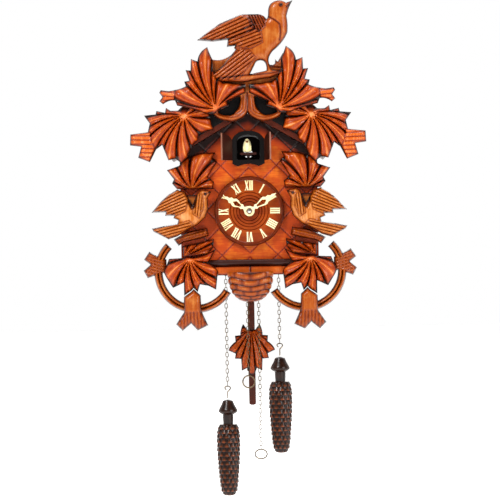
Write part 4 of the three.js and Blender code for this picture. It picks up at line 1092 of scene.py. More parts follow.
@dataclass
class Leaves:
    """The crest, shoulder, mid and lower leaves of both sides."""

    crest: Points = (
        (-33, 36), (-29, 40), (-19, 43.5), (-20.5, 48), (-8, 53.5), (-1.7, 56.5), (-1.7, 65), (-24, 67),
        (-30, 72), (-34, 80), (-34, 90), (-37, 96, -39, 102.5), (-48, 98, -49, 88.5), (-55.5, 91),
        (-56, 79.5), (-61, 80), (-57.5, 69.5), (-62.5, 68.5), (-61, 64), (-66, 61, -78, 59.5), (-86, 60.5),
        (-87.5, 58), (-84.5, 53.5), (-87.5, 49.5), (-84, 46.5), (-78, 51, -72, 50), (-70, 45),
        (-55, 41.5), (-42, 36.5))
    shoulder: Points = (
        (-67, 43), (-69.5, 40.5), (-77, 40.5), (-81.5, 43.5), (-82.5, 38.5), (-91, 40.5), (-92, 37),
        (-103.5, 36), (-98, 28), (-100, 19.5), (-117.5, 17.5), (-118, 6.5), (-107, 5), (-110, -6),
        (-98.5, -10.5), (-92, 2), (-86, 6.5), (-80, -9), (-73, -7.5), (-66.5, -12.5), (-61, -6), (-56, 5),
        (-50, 11), (-49, 17), (-34.5, 21), (-36.5, 30), (-39.5, 41.5), (-48.5, 51), (-58, 49.5))
    mid: Points = (
        (-58.5, -38), (-64, -38), (-72, -38), (-77, -32), (-75, -28), (-82, -18.5), (-70, -14.5), (-63, -7),
        (-50, -2.5), (-33, -1.5), (-36, -7), (-31.5, -11), (-41, -26), (-35, -31), (-36, -38), (-50, -38))
    lower: Points = (
        (-62, -106.5), (-57, -107), (-45, -104), (-34, -98.5), (-42, -112.5), (-33, -117, -32, -122),
        (-33, -126), (-34.5, -139), (-42, -135), (-50.5, -133.5), (-53, -141), (-57, -137), (-59, -139.5),
        (-66.5, -144.5), (-66.5, -131.5), (-72, -134), (-77.5, -136.5), (-84, -126), (-86.5, -121),
        (-81, -107.5))
    lower_back: Points = ((-67, -106), (-67, -95), (-50, -92), (-36, -88.5), (-37, -97), (-43, -104))

    def build(self) -> None:
        """Carves every leaf, the left ones first."""
        for side in Side:
            mirror = side is Side.RIGHT
            pieces = {
                "crest_leaf": self.crest_leaf(side, mirror),
                "shoulder_leaf": self.shoulder_leaf(side, mirror),
                "mid_leaf": self.mid_leaf(side, mirror),
                "lower_leaf": self.lower_leaf(side, mirror),
            }
            for word, piece in pieces.items():
                place(piece, Finish.LEAF, "case", "leaf_wood", f"{side.word}_{word}")

    def crest_leaf(self, side: Side, mirror: bool) -> bpy.types.Object:
        """Carves one crest leaf, its lobes rising from a foot beside the middle post."""
        relief = Fan((-31, 41), ((-8, 60), (-30, 72), (-34, 88), (-49, 89), (-56.5, 79), (-61, 67),
                                 (-70, 50)), 8.6, sweep=0.3, roll=2.4)
        relief = Twig(((-72, 44), (-72, 63), (-90, 63), (-90, 44)), (-70, 53), (-88, 55), relief)
        return carve(f"{side.word}_crest_leaf_carved", self.crest, CREST_BACK, 112, relief,
                     mirror=mirror, spacing=0.75)

    def shoulder_leaf(self, side: Side, mirror: bool) -> bpy.types.Object:
        """Carves one shoulder leaf, whose lobes hang over the eaves."""
        relief = Fan((-63, 35), ((-91, 36), (-99, 24), (-107, 5), (-92, 2), (-84, 4), (-71, -9),
                                 (-57, 3), (-48, 17), (-37, 33), (-45, 46)), 7.6, sweep=-0.4)
        relief = Twig(((-97.5, 19.5), (-96, 9), (-93, 3), (-98, -12), (-112, -8), (-120, 3),
                       (-120, 20)), (-92, 11), (-120, 12), relief)
        return carve(f"{side.word}_shoulder_leaf_carved", self.shoulder, EAVES_BACK, 101.2, relief,
                     mirror=mirror, spacing=0.75)

    def mid_leaf(self, side: Side, mirror: bool) -> bpy.types.Object:
        """Carves the leaf between the eaves and the side bird."""
        relief = Fan((-57, -39), ((-76, -30), (-72, -16), (-58, -5), (-34, -9), (-38, -28)), 8.0,
                     gouge=0.27, sweep=0.4, roll=2.4)
        return carve(f"{side.word}_mid_leaf_carved", self.mid, GLUED_BACK, 90.5, relief,
                     mirror=mirror, spacing=0.75)

    def lower_leaf(self, side: Side, mirror: bool) -> bpy.types.Object:
        """Carves the leaf at the floor's corner, with the lobe behind it, in one piece."""
        relief = Fan((-60, -108), ((-82, -112), (-74, -133), (-66.5, -133), (-56, -137),
                                   (-42, -135), (-33, -128), (-40, -112)), 8.4,
                     gouge=0.27, sweep=-0.5, roll=2.4)
        front = carve(f"{side.word}_lower_leaf_carved", self.lower, EAVES_BACK, 101.8, relief,
                      mirror=mirror, spacing=0.75)
        lobe = Fan((-66, -106), ((-62, -94), (-50, -92), (-37, -92)), 7.6, gouge=0.4)
        behind = carve("back_lobe", self.lower_back, GLUED_BACK, 91.0, lobe, mirror=mirror)
        return joined(front.name, [front, behind])


@dataclass
class TopBird:
    """The large bird over the ridge, its wings raised, and the branch it stands on."""

    outline: Points = (
        (46.5, 147.5), (42, 140, 40.5, 132), (42, 124, 41, 116), (37, 106, 26.5, 98), (21, 92, 22, 87),
        (23, 80, 26, 78.5), (32, 78, 42, 78), (34, 76, 24, 71), (10, 69.5, -2, 67), (-15, 67, -26, 67.5),
        (-36, 73.5), (-24, 84), (-11, 99.5), (-12.5, 101), (-11, 103.5), (-19.5, 102.5), (-18.5, 109.5),
        (-33.5, 108), (-49, 109.5), (-38, 118, -26, 126), (-14, 131, -6, 134.5), (6, 134.5, 12, 134.5),
        (18, 134, 20.5, 129.5), (22, 131, 22, 136), (22, 147, 33, 148), (37, 148, 40, 145.5))
    gap: Points = ((7.5, 83.5), (9, 88.5, 14, 88.5), (20, 88, 19.5, 78.5), (3, 75))
    edge: float = 112.6

    def build(self) -> None:
        """Carves the bird."""
        relief = Plain(6.0, roll=7.5, tone=0.12)
        relief = Feathers(((-38, 74), (-24, 84), (-11, 99.5), (2, 99), (9, 91), (0, 80), (-8, 70), (-26, 68)),
                          (6, 96), (-30, 70), 3.3, relief, lift=0.6, gouge=1.1)
        relief = Feathers(((2, 134.5), (12, 134.5), (20, 130), (19, 122), (13, 116), (4, 122)),
                          (8, 134), (16, 116), 2.6, relief, lift=-0.8, gouge=1.0, tone=0.3)
        relief = Feathers(((-20, 112), (-18.5, 103), (-11, 102), (4, 100), (16, 106), (15, 117), (2, 122)),
                          (14, 114), (-16, 103), 3.4, relief, lift=1.2, gouge=1.2)
        relief = Feathers(((-49, 109.5), (-33.5, 107.5), (-19, 109.8), (-6, 112), (8, 119), (8, 127),
                           (-6, 134.5), (-26, 127)), (4, 126), (-46, 105), 3.7, relief, lift=2.2, gouge=1.3,
                          fan=-0.004)
        relief = Score((((22, 131), (28, 129, 33, 124), (35, 116, 33, 108)),
                        ((40.5, 141), (43, 143.5, 46, 147)),
                        ((-28, 71), (-8, 73, 4, 74), (20, 74, 40, 78))), 0.8, 1.2, relief, tone=0.55)
        relief = Boss((34.8, 142.8), 1.5, 0.8, relief)
        bird = carve("top_bird_carved", self.outline, CREST_BACK, self.edge, relief,
                     holes=(self.gap,), spacing=0.7)
        place(bird, Finish.TWIG, "case", "bird_wood", "top_bird")


@dataclass
class SideBirds:
    """The pair of small birds beside the dial, and the perches below them."""

    outline: Points = (
        (-37.5, -41), (-41.5, -48), (-41, -58), (-44, -67), (-52, -74), (-62, -79), (-72, -85), (-81, -88),
        (-96, -80), (-97.5, -77), (-86, -74.5), (-72, -72.5), (-71, -69), (-76, -67), (-75, -64.5),
        (-84, -64.5), (-83.5, -61), (-97.5, -61), (-88, -50), (-80, -43), (-72, -38.5), (-64, -41),
        (-56.5, -54), (-51.5, -42), (-47, -39), (-41, -40))
    block: Points = ((-44, -44), (-44, -64), (-53, -72), (-66, -76.5), (-66, -44))
    back: float = 98.4
    edge: float = 103.0
    perch: Points = ((-76.5, -88), (-71.5, -94.5), (-66, -91), (-50, -88), (-41, -85), (-42.5, -77.5),
                     (-60, -80), (-68, -83.5))

    def build(self) -> None:
        """Carves both birds, each on its glued block, and both perches."""
        for side in Side:
            mirror = side is Side.RIGHT
            bird = carve(f"{side.word}_bird_carved", self.outline, self.back, self.edge,
                         self.relief(), mirror=mirror, spacing=0.65)
            block = carve("block", self.block, GLUED_BACK, self.back, Plain(0.0), mirror=mirror,
                          spacing=3)
            place(joined(bird.name, [bird, block]), Finish.BIRD, "case", "bird_wood",
                  f"{side.word}_bird")
            grain = Lines(((-78, -91), (-60, -84, -42, -81)), 3.2, 1.6, Plain(6.4, roll=4), shade=0.28)
            perch = carve(f"{side.word}_perch_carved", self.perch, GLUED_BACK, 91.0, grain,
                          mirror=mirror)
            place(perch, Finish.TWIG, "case", "bird_wood", f"{side.word}_perch")

    def relief(self) -> Relief:
        """Shapes the left bird: a raised near wing, an outspread far wing and a long tail."""
        relief = Plain(6.6, roll=7, tone=0.12)
        relief = Hollow(((-61, -44), (-51, -43), (-53, -57), (-58, -60), (-62, -52)), 3.4, relief)
        relief = Feathers(((-97.5, -61), (-88, -50), (-80, -43), (-72, -38.5), (-65, -41), (-61, -50),
                           (-64, -60), (-74, -65), (-84, -64)), (-62, -48), (-96, -62), 3.1, relief,
                          lift=1.6, gouge=1.2, fan=-0.006)
        relief = Feathers(((-97, -79), (-86, -74.5), (-72, -72.5), (-60, -70), (-56, -74), (-72, -84),
                           (-81, -88)), (-60, -75), (-92, -83), 2.9, relief, lift=0.5, gouge=1.1)
        relief = Feathers(((-52, -43), (-46.5, -44), (-45.5, -56), (-50, -67), (-56, -63), (-55, -52)),
                          (-49, -42), (-52, -68), 2.6, relief, lift=1.9, gouge=1.0)
        relief = Score((((-41.5, -42.6), (-39.5, -42, -37.8, -41.3)),), 0.5, 0.8, relief)
        return Boss((-43.6, -43.4), 1.15, 0.7, relief)


@dataclass
class Vines:
    """The round vine hoops, their cut twigs and the forked stems below."""

    twig: Points = ((-101, -100), (-106.5, -108), (-100, -113), (-107, -119), (-103, -126.5),
                    (-94, -123.5), (-84, -121), (-84, -108), (-90, -106))
    stem: Points = ((-66.8, -145.8), (-59, -140.4), (-57, -138), (-50, -144.5), (-49.5, -160),
                    (-43, -174.5), (-53.5, -179.5), (-60, -172.5), (-68.5, -179.5), (-75, -173), (-67, -161))
    hoop_centre: Sequence[float] = (-55, -121)
    hoop_radius: float = 37.2
    hoop_width: float = 8.3
    hoop_span: Sequence[float] = (135, 328)  # degrees, anticlockwise from the clock's right

    def build(self) -> None:
        """Carves each side's hoop with its twig, and its stem."""
        for side in Side:
            mirror = side is Side.RIGHT
            hoop = carve(f"{side.word}_vine_hoop_carved", self.hoop_outline(), GLUED_BACK, 90.6,
                         self.moulding, mirror=mirror, spacing=0.8)
            grooves = Lines(((-84, -114), (-106, -108)), 3.0, 1.4, Plain(6.6, roll=3.5), shade=0.25)
            twig = carve("twig", self.twig, GLUED_BACK, 91.0, grooves, mirror=mirror)
            place(joined(hoop.name, [hoop, twig]), Finish.TWIG, "case", "leaf_wood",
                  f"{side.word}_vine_hoop")
            fork = Lines(((-58, -138), (-59, -158), (-58, -180)), 3.4, 1.3, Plain(7.0, roll=4.5), shade=0.35,
                         area=((-43, -160), (-76, -160), (-76, -181), (-43, -181)))
            stem = carve(f"{side.word}_vine_stem_carved", self.stem, EAVES_BACK, 102.4, fork,
                         mirror=mirror)
            place(stem, Finish.TWIG, "case", "bird_wood", f"{side.word}_vine_stem")

    def hoop_outline(self) -> list[list[float]]:
        """Draws the hoop's band between its two ends."""
        start, end = (math.radians(angle) for angle in self.hoop_span)
        corners = []
        for radius, angles in (
            (self.hoop_radius + self.hoop_width / 2, np.linspace(start, end, 60)),
            (self.hoop_radius - self.hoop_width / 2, np.linspace(end, start, 54)),
        ):
            corners += [[self.hoop_centre[0] + radius * math.cos(a),
                         self.hoop_centre[1] + radius * math.sin(a)] for a in angles]
        return corners

    def moulding(self, points: np.ndarray, away: np.ndarray) -> tuple[np.ndarray, np.ndarray]:
        """Shapes the hoop: two round beads beside a groove, its edges and groove darkened, partly stain and
        partly painted shade.
        """
        reach = np.linalg.norm(points - np.array(self.hoop_centre), axis=1) - self.hoop_radius
        share = reach / (self.hoop_width / 2)
        bead = np.sqrt(np.clip(1 - ((np.abs(share) - 0.48) / 0.5) ** 2, 0, 1))
        groove = np.exp(-((share / 0.14) ** 2))
        rise = 6.6 * bead * (1 - np.exp(-away / 0.7)) - 1.2 * groove
        return rise, 0.12 + 0.95 * np.exp(-((away / 0.9) ** 2)) + 0.6 * groove


# ---------------------------------------------------------------- crest board, front, apron and nest


@dataclass
class Front:
    """The crest board, the lattice-carved front, the rail and apron, and the nest."""

    crest_outline: Points = (
        (-34, 36), (-38, 43), (-47, 52), (-45, 78), (-36, 92), (-25, 87, -12, 98), (0, 92), (3, 74),
        (19, 77.5), (21, 87), (25, 83, 28, 86), (28.5, 90), (31, 88), (36, 96), (46, 88), (47, 52),
        (38, 43), (34, 36), (32, 30, 16, 28), (4, 30, 0, 37), (-4, 30, -16, 28), (-32, 30, -34, 36))
    crest_hole: Points = (
        (-29, 38), (-27, 41), (-19, 43.5), (-18.5, 46), (-20.5, 48), (-9, 53.5), (-7.5, 52),
        (-7.5, 40, -17, 35), (-25, 34.5, -29, 38))
    lattice_first: float = 13.0  # where the first slanting line would meet the ground line
    lattice_pitch: float = 30.0  # across one carved diamond, corner to corner
    tunnel_low: Sequence[float] = (-13.3, -11.3)
    tunnel_high: Sequence[float] = (13.3, 17.3)
    arbor_z: float = -61.0
    nest_rows: int = 7  # strands one above the other
    nest_waves: int = 4  # times that a strand comes forward between the nest's two ends

    def build(self) -> None:
        """Carves the crest board and the nest and dresses the front board, rail and apron."""
        self.crest_board()
        self.nest()
        self.lattice()
        self.apron()

    def crest_board(self) -> None:
        """Carves the board behind the crest: two arched stems that meet at a pointed post, with a black board
        behind its gaps as painted shade.
        """
        other = [[value * (-1, 1)[place % 2] for place, value in enumerate(corner)]
                 for corner in self.crest_hole]
        relief = Lines(((-33, 37), (-28, 31.5, -16, 31), (-4, 32, -1, 40), (0, 46, 0, 56)), 3.0, 0.9,
                       Plain(5.4, roll=3.0, tone=0.12, dark_rim_width=0.8), shade=0.35,
                       area=((-36, 27), (0, 27), (0, 56), (-6, 55), (-36, 44)))
        relief = Lines(((33, 37), (28, 31.5, 16, 31), (4, 32, 1, 40), (0, 46, 0, 56)), 3.0, 0.9, relief,
                       shade=0.3, area=((36, 27), (0, 27), (0, 56), (6, 55), (36, 44)))
        relief = Score((((20, 76), (28, 79, 40, 78)), ((22, 84), (30, 80, 44, 82)), ((0, 34), (0, 57))),
                       0.8, 1.2, relief, tone=0.6)
        board = carve("crest_board_carved", self.crest_outline, EAVES_BACK, 101.6, relief,
                      holes=(self.crest_hole, other), spacing=0.75)
        place(board, Finish.TWIG, "case", "leaf_wood", "crest_board")
        # a black board behind the crest's gaps and over the gable: painted shade standing in for the shadowed
        # roof seen through the gaps
        backing = carve("crest_gap_shade_board",
                        ((0, 43.2), (50, 14.33), (50, 22), (44, 34), (44, 50), (30, 60),
                         (-30, 60), (-44, 50), (-44, 34), (-50, 22), (-50, 14.33)),
                        93.0, 98.0, Plain(0.25, roll=1), spacing=3.0)
        place(backing, Finish.BLACK, "case", "black_plastic")

    def weave(self, down: float, turn: float) -> float:
        """Says how far forward the nest's strand is, from 0 between strands to 1.

        Args:
            down: The share of the way from the rim to the foot.
            turn: The angle round the bowl, from 0 to half a turn.
        """
        strand = down * self.nest_rows + 0.25 * math.sin(turn * 3)
        band = abs(math.sin(math.pi * strand))
        phase = turn / math.pi * self.nest_waves + 0.5 * (int(strand) % 2)
        over = abs(math.sin(math.pi * phase))
        return band ** 0.45 * (0.55 + 0.45 * min(1.0, over * 1.7))

    def nest(self) -> None:
        """Makes the woven nest: a half bowl of curved strands under the dial."""
        low, high = box_mm("nest")
        centre_x, top, back = (low[0] + high[0]) / 2, high[2], -high[1]
        half, drop, out = (high[0] - low[0]) / 2, top - low[2], high[1] - low[1]
        columns, rows = 150, 96
        verts, burns, faces = [], [], []
        for row in range(rows + 1):
            down = row / rows
            lat = down * math.pi / 2
            for column in range(columns + 1):
                turn = column / columns * math.pi
                weave = self.weave(down, turn)
                shrink = 1 - 0.075 * (1 - weave)
                width = half * math.cos(lat) ** 0.72 * shrink
                verts.append((centre_x + width * -math.cos(turn),
                              -(back + out * math.sin(turn) ** 0.8 * math.cos(lat) ** 0.55 * shrink),
                              top - drop * math.sin(lat) * (0.995 if row else 1)))
                burns.append(0.14 + 0.9 * (1 - weave) ** 1.1 + 0.35 * down ** 4)
        count = columns + 1
        for row in range(rows):
            for column in range(columns):
                a, b = row * count + column, row * count + column + 1
                faces.append([a, a + count, b + count, b])
        back_top = len(verts)
        for row in range(rows + 1):
            lat = row / rows * math.pi / 2
            verts.append((centre_x, -back, top - drop * math.sin(lat) * 0.995))
            burns.append(0.9)
        for row in range(rows):
            for edge in (0, columns):
                a, b = row * count + edge, (row + 1) * count + edge
                face = [a, back_top + row, back_top + row + 1, b]
                faces.append(face if edge == 0 else face[::-1])
        faces.append([back_top, *range(count)])
        bowl = mesh_object("nest_woven", np.array(verts), faces, burn=np.array(burns))
        outward(smooth(bowl, 75), 0.02)
        place(bowl, Finish.TWIG, "case", "leaf_wood", "nest")

    def front_board(self, points: np.ndarray, away: np.ndarray) -> tuple[np.ndarray, np.ndarray]:
        """Scores slanting lines that cross as diamonds, the same on both sides of the middle, and paints shade
        under the roof and towards the board's sides.
        """
        across, up = np.abs(points[:, 0]), points[:, 1]
        first, pitch = self.lattice_first, self.lattice_pitch
        cut = np.zeros(len(points))
        for slant in (across + up, across - up):
            off = np.abs((slant - first + pitch / 2) % pitch - pitch / 2) / math.sqrt(2)
            cut = np.maximum(cut, np.exp(-((off / 0.42) ** 2)))
        # painted shadow under the roof and the crest, and painted shade towards the sides where the leaves
        # overhang
        under_roof = 34.5 - across * math.tan(math.radians(30)) - up
        shade = np.exp(-((np.maximum(under_roof, 0) / 9.0) ** 2))
        shade = shade + 0.3 * soft_step((across - 28) / 25)
        return 1.2 - 0.7 * cut, 0.14 + 0.6 * cut + 0.75 * shade

    def lattice(self) -> None:
        """Carves the front board, which has the tunnel's opening and the hour tube's hole."""
        low, high = box_mm("front_panel")
        half, base, peak = high[0], low[2], high[2]
        eave = peak - half * math.tan(math.radians(30))
        outline = ((-half, base), (half, base), (half, eave), (0, peak), (-half, eave))
        inner_low, inner_high = self.tunnel_low, self.tunnel_high
        spring = inner_high[1] - 6
        opening = (inner_low, (inner_high[0], inner_low[1]), (inner_high[0], spring),
                   (inner_high[0], inner_high[1] - 0.6, 0, inner_high[1]),
                   (inner_low[0], inner_high[1] - 0.6, inner_low[0], spring))
        board = carve("front_board_carved", outline, -high[1], -low[1] - 1.3, self.front_board,
                      holes=(opening, circle(3.8, 19, self.arbor_z)), spacing=0.95)
        place(board, Finish.FRONT, "case", "front_wood", "front_panel")

    def apron(self) -> None:
        """Makes the dark rail with tapered ends, and the apron below it with its rounded tongue."""
        low, high = box_mm("apron")
        half, back, front, top = high[0] - 1.5, -high[1], -low[1], high[2]
        rail_base, floor = top - 6, top - 15.7
        rail = carve("front_rail",
                     ((-half, rail_base + 1), (-half + 4, rail_base), (half - 4, rail_base),
                      (half, rail_base + 1), (half - 1.5, top), (-half + 1.5, top)),
                     back, front - 2.2, Plain(2.0, roll=2.2, tone=0.55), spacing=1.2)
        place(rail, Finish.CASE, "case", "dark_wood", "apron")
        relief = Score((((0, rail_base), (0, floor - 22)),), 0.7, 1.0,
                       Plain(1.8, roll=2.5, tone=0.2), tone=0.7)
        apron = carve("apron_carved",
                      ((-half, floor), (-17, floor), (-15, floor - 20, 0, floor - 23),
                       (15, floor - 20, 17, floor), (half, floor), (half, rail_base - 0.2),
                       (-half, rail_base - 0.2)), back, front - 5, relief, spacing=1.0)
        place(apron, Finish.LEAF, "case", "leaf_wood")


# ---------------------------------------------------------------- doorway and cuckoo


def tone_by(piece: bpy.types.Object, function: Callable[[np.ndarray], np.ndarray]) -> bpy.types.Object:
    """Stores how dark each vertex is, as its stain and shade value, from its place in millimetres."""
    places = np.array([tuple(vertex.co) for vertex in piece.data.vertices]) / MM
    layer = piece.data.attributes.get("burn") or piece.data.attributes.new("burn", "FLOAT", "POINT")
    layer.data.foreach_set("value", np.clip(function(places), 0, 1).astype(np.float32))
    return piece


def scaled(piece: bpy.types.Object, centre: Sequence[float], factors: Sequence[float]) -> bpy.types.Object:
    """Stretches a piece about a point in millimetres."""
    middle = Matrix.Translation(Vector(centre) * MM)
    piece.data.transform(middle @ Matrix.Diagonal((*factors, 1)) @ middle.inverted())
    return piece


@dataclass
class Doorway:
    """The black door frame, its two leaves, and the painted cuckoo on its slide."""

    body_profile: Points = ((1.2, 0), (3.2, 0.7), (4.1, 3), (4.2, 6), (3.7, 9), (2.9, 11.2), (1.7, 12.9),
                            (0.5, 13.6))
    long: float = 2.1  # the body's length over its width
    hinge_x: float = 16.0
    hinge_depth: float = 93.4
    door_length: float = 15.6
    door_thick: float = 1.5
    open_left: float = 130.0  # degrees from shut
    open_right: float = 110.0

    def build(self) -> None:
        """Dresses the frame, the slide and the doors, and makes the door edges and the cuckoo."""
        Finish.BLACK.dress(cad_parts["door_frame"])
        Finish.CASE.dress(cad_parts["cuckoo_slide"])
        for side in Side:
            Finish.CASE.dress(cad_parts[f"{side.word}_door"])
            self.door_edge(side)
        self.cuckoo()

    def door_edge(self, side: Side) -> None:
        """Adds the pale edge at one door's free end, in line with the open door: raw wood, lightened as a
        painted highlight.
        """
        low, high = box_mm(f"{side.word}_door")
        way = side.value
        turn = math.radians(self.open_right if side is Side.RIGHT else self.open_left)
        edge = box_piece(f"{side.word}_door_edge", (self.door_length - 0.5, -0.04, low[2] + 0.2),
                         (self.door_length + 0.15, self.door_thick + 0.04, high[2] - 0.2), 0.1)
        edge.data.transform(Matrix((
            (-way * math.cos(turn), way * math.sin(turn), 0, way * self.hinge_x * MM),
            (-math.sin(turn), -math.cos(turn), 0, -self.hinge_depth * MM),
            (0, 0, 1, 0),
            (0, 0, 0, 1),
        )))
        if side is Side.LEFT:
            edge.data.flip_normals()
        place(edge, Finish.EDGE, f"{side.word}_door", "dark_wood")

    def cuckoo(self) -> None:
        """Makes the cuckoo: an upright bullet body, two folded wings, dark eyes and a beak."""
        low, high = box_mm("cuckoo")
        x, base, front = (low[0] + high[0]) / 2, low[2], -low[1]
        middle = front - 4.4 * self.long - 0.8
        body = turned("cuckoo_body", self.body_profile, 32, centre=(x, -middle, base))
        parts = [scaled(body, (x, -middle, base), (1, self.long, 1))]
        for way in (-1, 1):
            wing = turned("wing", ((0.3, 0), (1.0, 0.6), (1.25, 3), (1.0, 6), (0.3, 7.6)), 16,
                          centre=(x + way * 3.35, -(middle + 2.0), base + 0.3))
            parts.append(scaled(wing, (x + way * 3.35, -(middle + 2.0), base), (0.8, 4.5, 1)))
        bird = joined("cuckoo_carved", parts)
        place(bird, Finish.CREAM, "cuckoo", "cream_plastic", "cuckoo")
        beak_y = -(front - 3.4)
        beak = turned("cuckoo_beak", ((1.25, 0), (0.9, 1.4), (0.25, 3.0)), 16, axis="Y",
                      centre=(x - 0.1, beak_y, base + 10.2))
        place(beak, Finish.BEAK, "cuckoo", "cream_plastic")
        eyes = [turned("eye", ((0.2, -0.5), (0.5, -0.2), (0.5, 0.2), (0.2, 0.5)), 12, axis="Y",
                       centre=(x + way * 1.9, -(front - 3.0), base + 11.3)) for way in (-1, 1)]
        place(joined("cuckoo_eyes", eyes), Finish.BLACK, "cuckoo", "black_plastic")


# ---------------------------------------------------------------- dial and hands


@dataclass
class Dial:
    """The turned dial with its numerals, the two pierced hands and their nut."""

    face_profile: Points = (
        (3.1, 86.3), (34.5, 86.3), (35, 86.8), (35, 92.2), (34.3, 93.0), (33.0, 93.0), (32.2, 92.2),
        (31.9, 91.2), (31.2, 90.7), (19.6, 90.8), (19.0, 90.3), (18.4, 90.9), (16.2, 90.9), (15.7, 90.3),
        (15.2, 90.9), (13.2, 90.9), (12.7, 90.3), (12.2, 90.9), (10.2, 90.9), (9.7, 90.3), (9.2, 90.9),
        (3.1, 90.9))
    numeral_radius: float = 25.8
    numeral_height: float = 9.8
    thick: float = 1.45
    thin: float = 0.8
    numeral_width: float = 9.6
    numeral_rise: float = 0.45

    def build(self) -> None:
        """Turns the dial, and adds the numerals, hands and nut."""
        self.face()
        self.numerals()
        self.hand("hour_hand", "hour_train", 30.2, 5.2, 3.2, 94.0, -59.0)
        self.hand("minute_hand", "minute_train", 32.8, 4.8, 1.9, 95.9, 57.0)
        Finish.STEEL.dress(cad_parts["hand_nut"])

    @property
    def centre_z(self) -> float:
        """The height of the dial's middle."""
        low, high = box_mm("dial")
        return (low[2] + high[2]) / 2

    def face(self) -> None:
        """Turns the dial as a ring round the hour tube's hole."""
        dial = turned("dial_turned", self.face_profile, 96, axis="Y",
                      centre=(0, 0, self.centre_z), ring=True)
        tone_by(dial, self.face_tone)
        place(dial, Finish.DIAL, "case", "dial_wood", "dial")

    def face_tone(self, places: np.ndarray) -> np.ndarray:
        """Darkens the rim, the grooves and the sides."""
        radius = np.hypot(places[:, 0], places[:, 2] - self.centre_z)
        depth = -places[:, 1]
        tone = np.interp(radius, [0, 8, 20, 30, 31.6, 32.4, 35],
                         [0.5, 0.42, 0.2, 0.3, 0.45, 0.6, 0.66])
        return np.where((depth < 90.5) & (radius < 31), tone + 0.5, tone)

    def stroke(self, x0: float, x1: float, width: float) -> list[tuple[float, float]]:
        """Draws a straight stroke, from the base at x0 to the top at x1."""
        half, height = width / 2, self.numeral_height / 2
        return [(x0 - half, -height), (x0 + half, -height), (x1 + half, height), (x1 - half, height)]

    def letter(self, sign: str, x: float) -> tuple[list[list[tuple[float, float]]], float]:
        """Draws I, V or X as strokes with serifs, and gives its width."""
        height = self.numeral_height / 2
        serif = 0.5

        def foot(at: float, level: float, wide: float) -> list[tuple[float, float]]:
            """Draws the short flat serif of a stroke's end."""
            low = -height if level < 0 else height - serif
            return [(at - wide, low), (at + wide, low), (at + wide, low + serif),
                    (at - wide, low + serif)]

        if sign == "I":
            middle = x + 0.9
            return [self.stroke(middle, middle, self.thick), foot(middle, -1, 1.0),
                    foot(middle, 1, 1.0)], 1.8
        if sign == "V":
            return [self.stroke(x + 2.1, x + 0.8, self.thick),
                    self.stroke(x + 2.4, x + 3.6, self.thin),
                    foot(x + 0.8, 1, 1.0), foot(x + 3.6, 1, 0.8)], 4.4
        return [self.stroke(x + 3.4, x + 0.9, self.thick), self.stroke(x + 0.8, x + 3.5, self.thin),
                foot(x + 3.4, -1, 0.9), foot(x + 0.9, 1, 0.9), foot(x + 0.8, -1, 0.8),
                foot(x + 3.5, 1, 0.8)], 4.3

    def numerals(self) -> None:
        """Makes the twelve raised numerals, their feet to the dial's middle."""
        signs = ("XII", "I", "II", "III", "IIII", "V", "VI", "VII", "VIII", "IX", "X", "XI")
        verts, faces = [], []
        base, rise = 90.4, self.numeral_rise + 0.35
        for hour, word in enumerate(signs):
            strokes, x = [], 0.0
            for sign in word:
                drawn, wide = self.letter(sign, x)
                strokes += drawn
                x += wide + 0.25
            squeeze = min(1.0, self.numeral_width / x)
            turn = -hour * math.pi / 6
            for index, corners in enumerate(strokes):
                top = base + rise + 0.02 * index
                first = len(verts)
                for depth in (base, top):
                    for cx, cz in corners:
                        across, out = (cx - x / 2) * squeeze, cz + self.numeral_radius
                        verts.append((across * math.cos(turn) - out * math.sin(turn), -depth,
                                      self.centre_z + across * math.sin(turn) + out * math.cos(turn)))
                faces += [[first + 3, first + 2, first + 1, first],
                          [first + 4, first + 5, first + 6, first + 7]]
                for k in range(4):
                    n = (k + 1) % 4
                    faces.append([first + k, first + n, first + 4 + n, first + 4 + k])
        numerals = mesh_object("dial_numerals", np.array(verts), faces)
        place(bevelled(outward(numerals), 0.12, 1), Finish.CREAM, "case", "cream_plastic")

    def hand(self, node: str, body: str, length: float, boss: float, bore: float, back: float,
             degrees: float) -> None:
        """Cuts one pierced hand with scalloped sides, and turns it to its hour.

        Args:
            node: The CAD node that it stands for.
            body: The body that it moves with.
            length: From the dial's middle to the tip.
            boss: The radius of the round at its root.
            bore: The radius of the hole in that.
            back: The depth of its back.
            degrees: Clockwise from twelve, as seen from the front.
        """
        half = [(boss * 0.55, boss * 0.85), (1.1, boss * 1.25), (2.6, boss * 1.7), (1.9, boss * 2.1),
                (3.9, length * 0.5), (4.2, length * 0.58), (2.6, length * 0.66), (3.1, length * 0.73),
                (1.2, length * 0.8), (1.5, length * 0.87), (0.4, length * 0.94)]
        arc = [(boss * math.sin(a), boss * math.cos(a)) for a in np.radians(np.arange(180, 34, -12))]
        right = [*arc, *half]
        outline = [*right, (0.0, length), *[(-x, z) for x, z in reversed(right[1:])]]
        holes = [
            circle(bore, 24),
            [(0.9, boss * 1.9), (2.4, length * 0.52), (0.0, length * 0.63), (-2.4, length * 0.52),
             (-0.9, boss * 1.9)],
        ]
        turn = math.radians(-degrees)
        turned_loops = [[(x * math.cos(turn) - z * math.sin(turn),
                          self.centre_z + x * math.sin(turn) + z * math.cos(turn)) for x, z in loop]
                        for loop in (outline, *holes)]
        hand = carve(f"{node}_pierced", turned_loops[0], back, back + 0.62, Plain(0.36, roll=0.8),
                     holes=turned_loops[1:], spacing=0.55)
        place(hand, Finish.CREAM, body, "cream_plastic", node)


# ---------------------------------------------------------------- pendulum and the rest


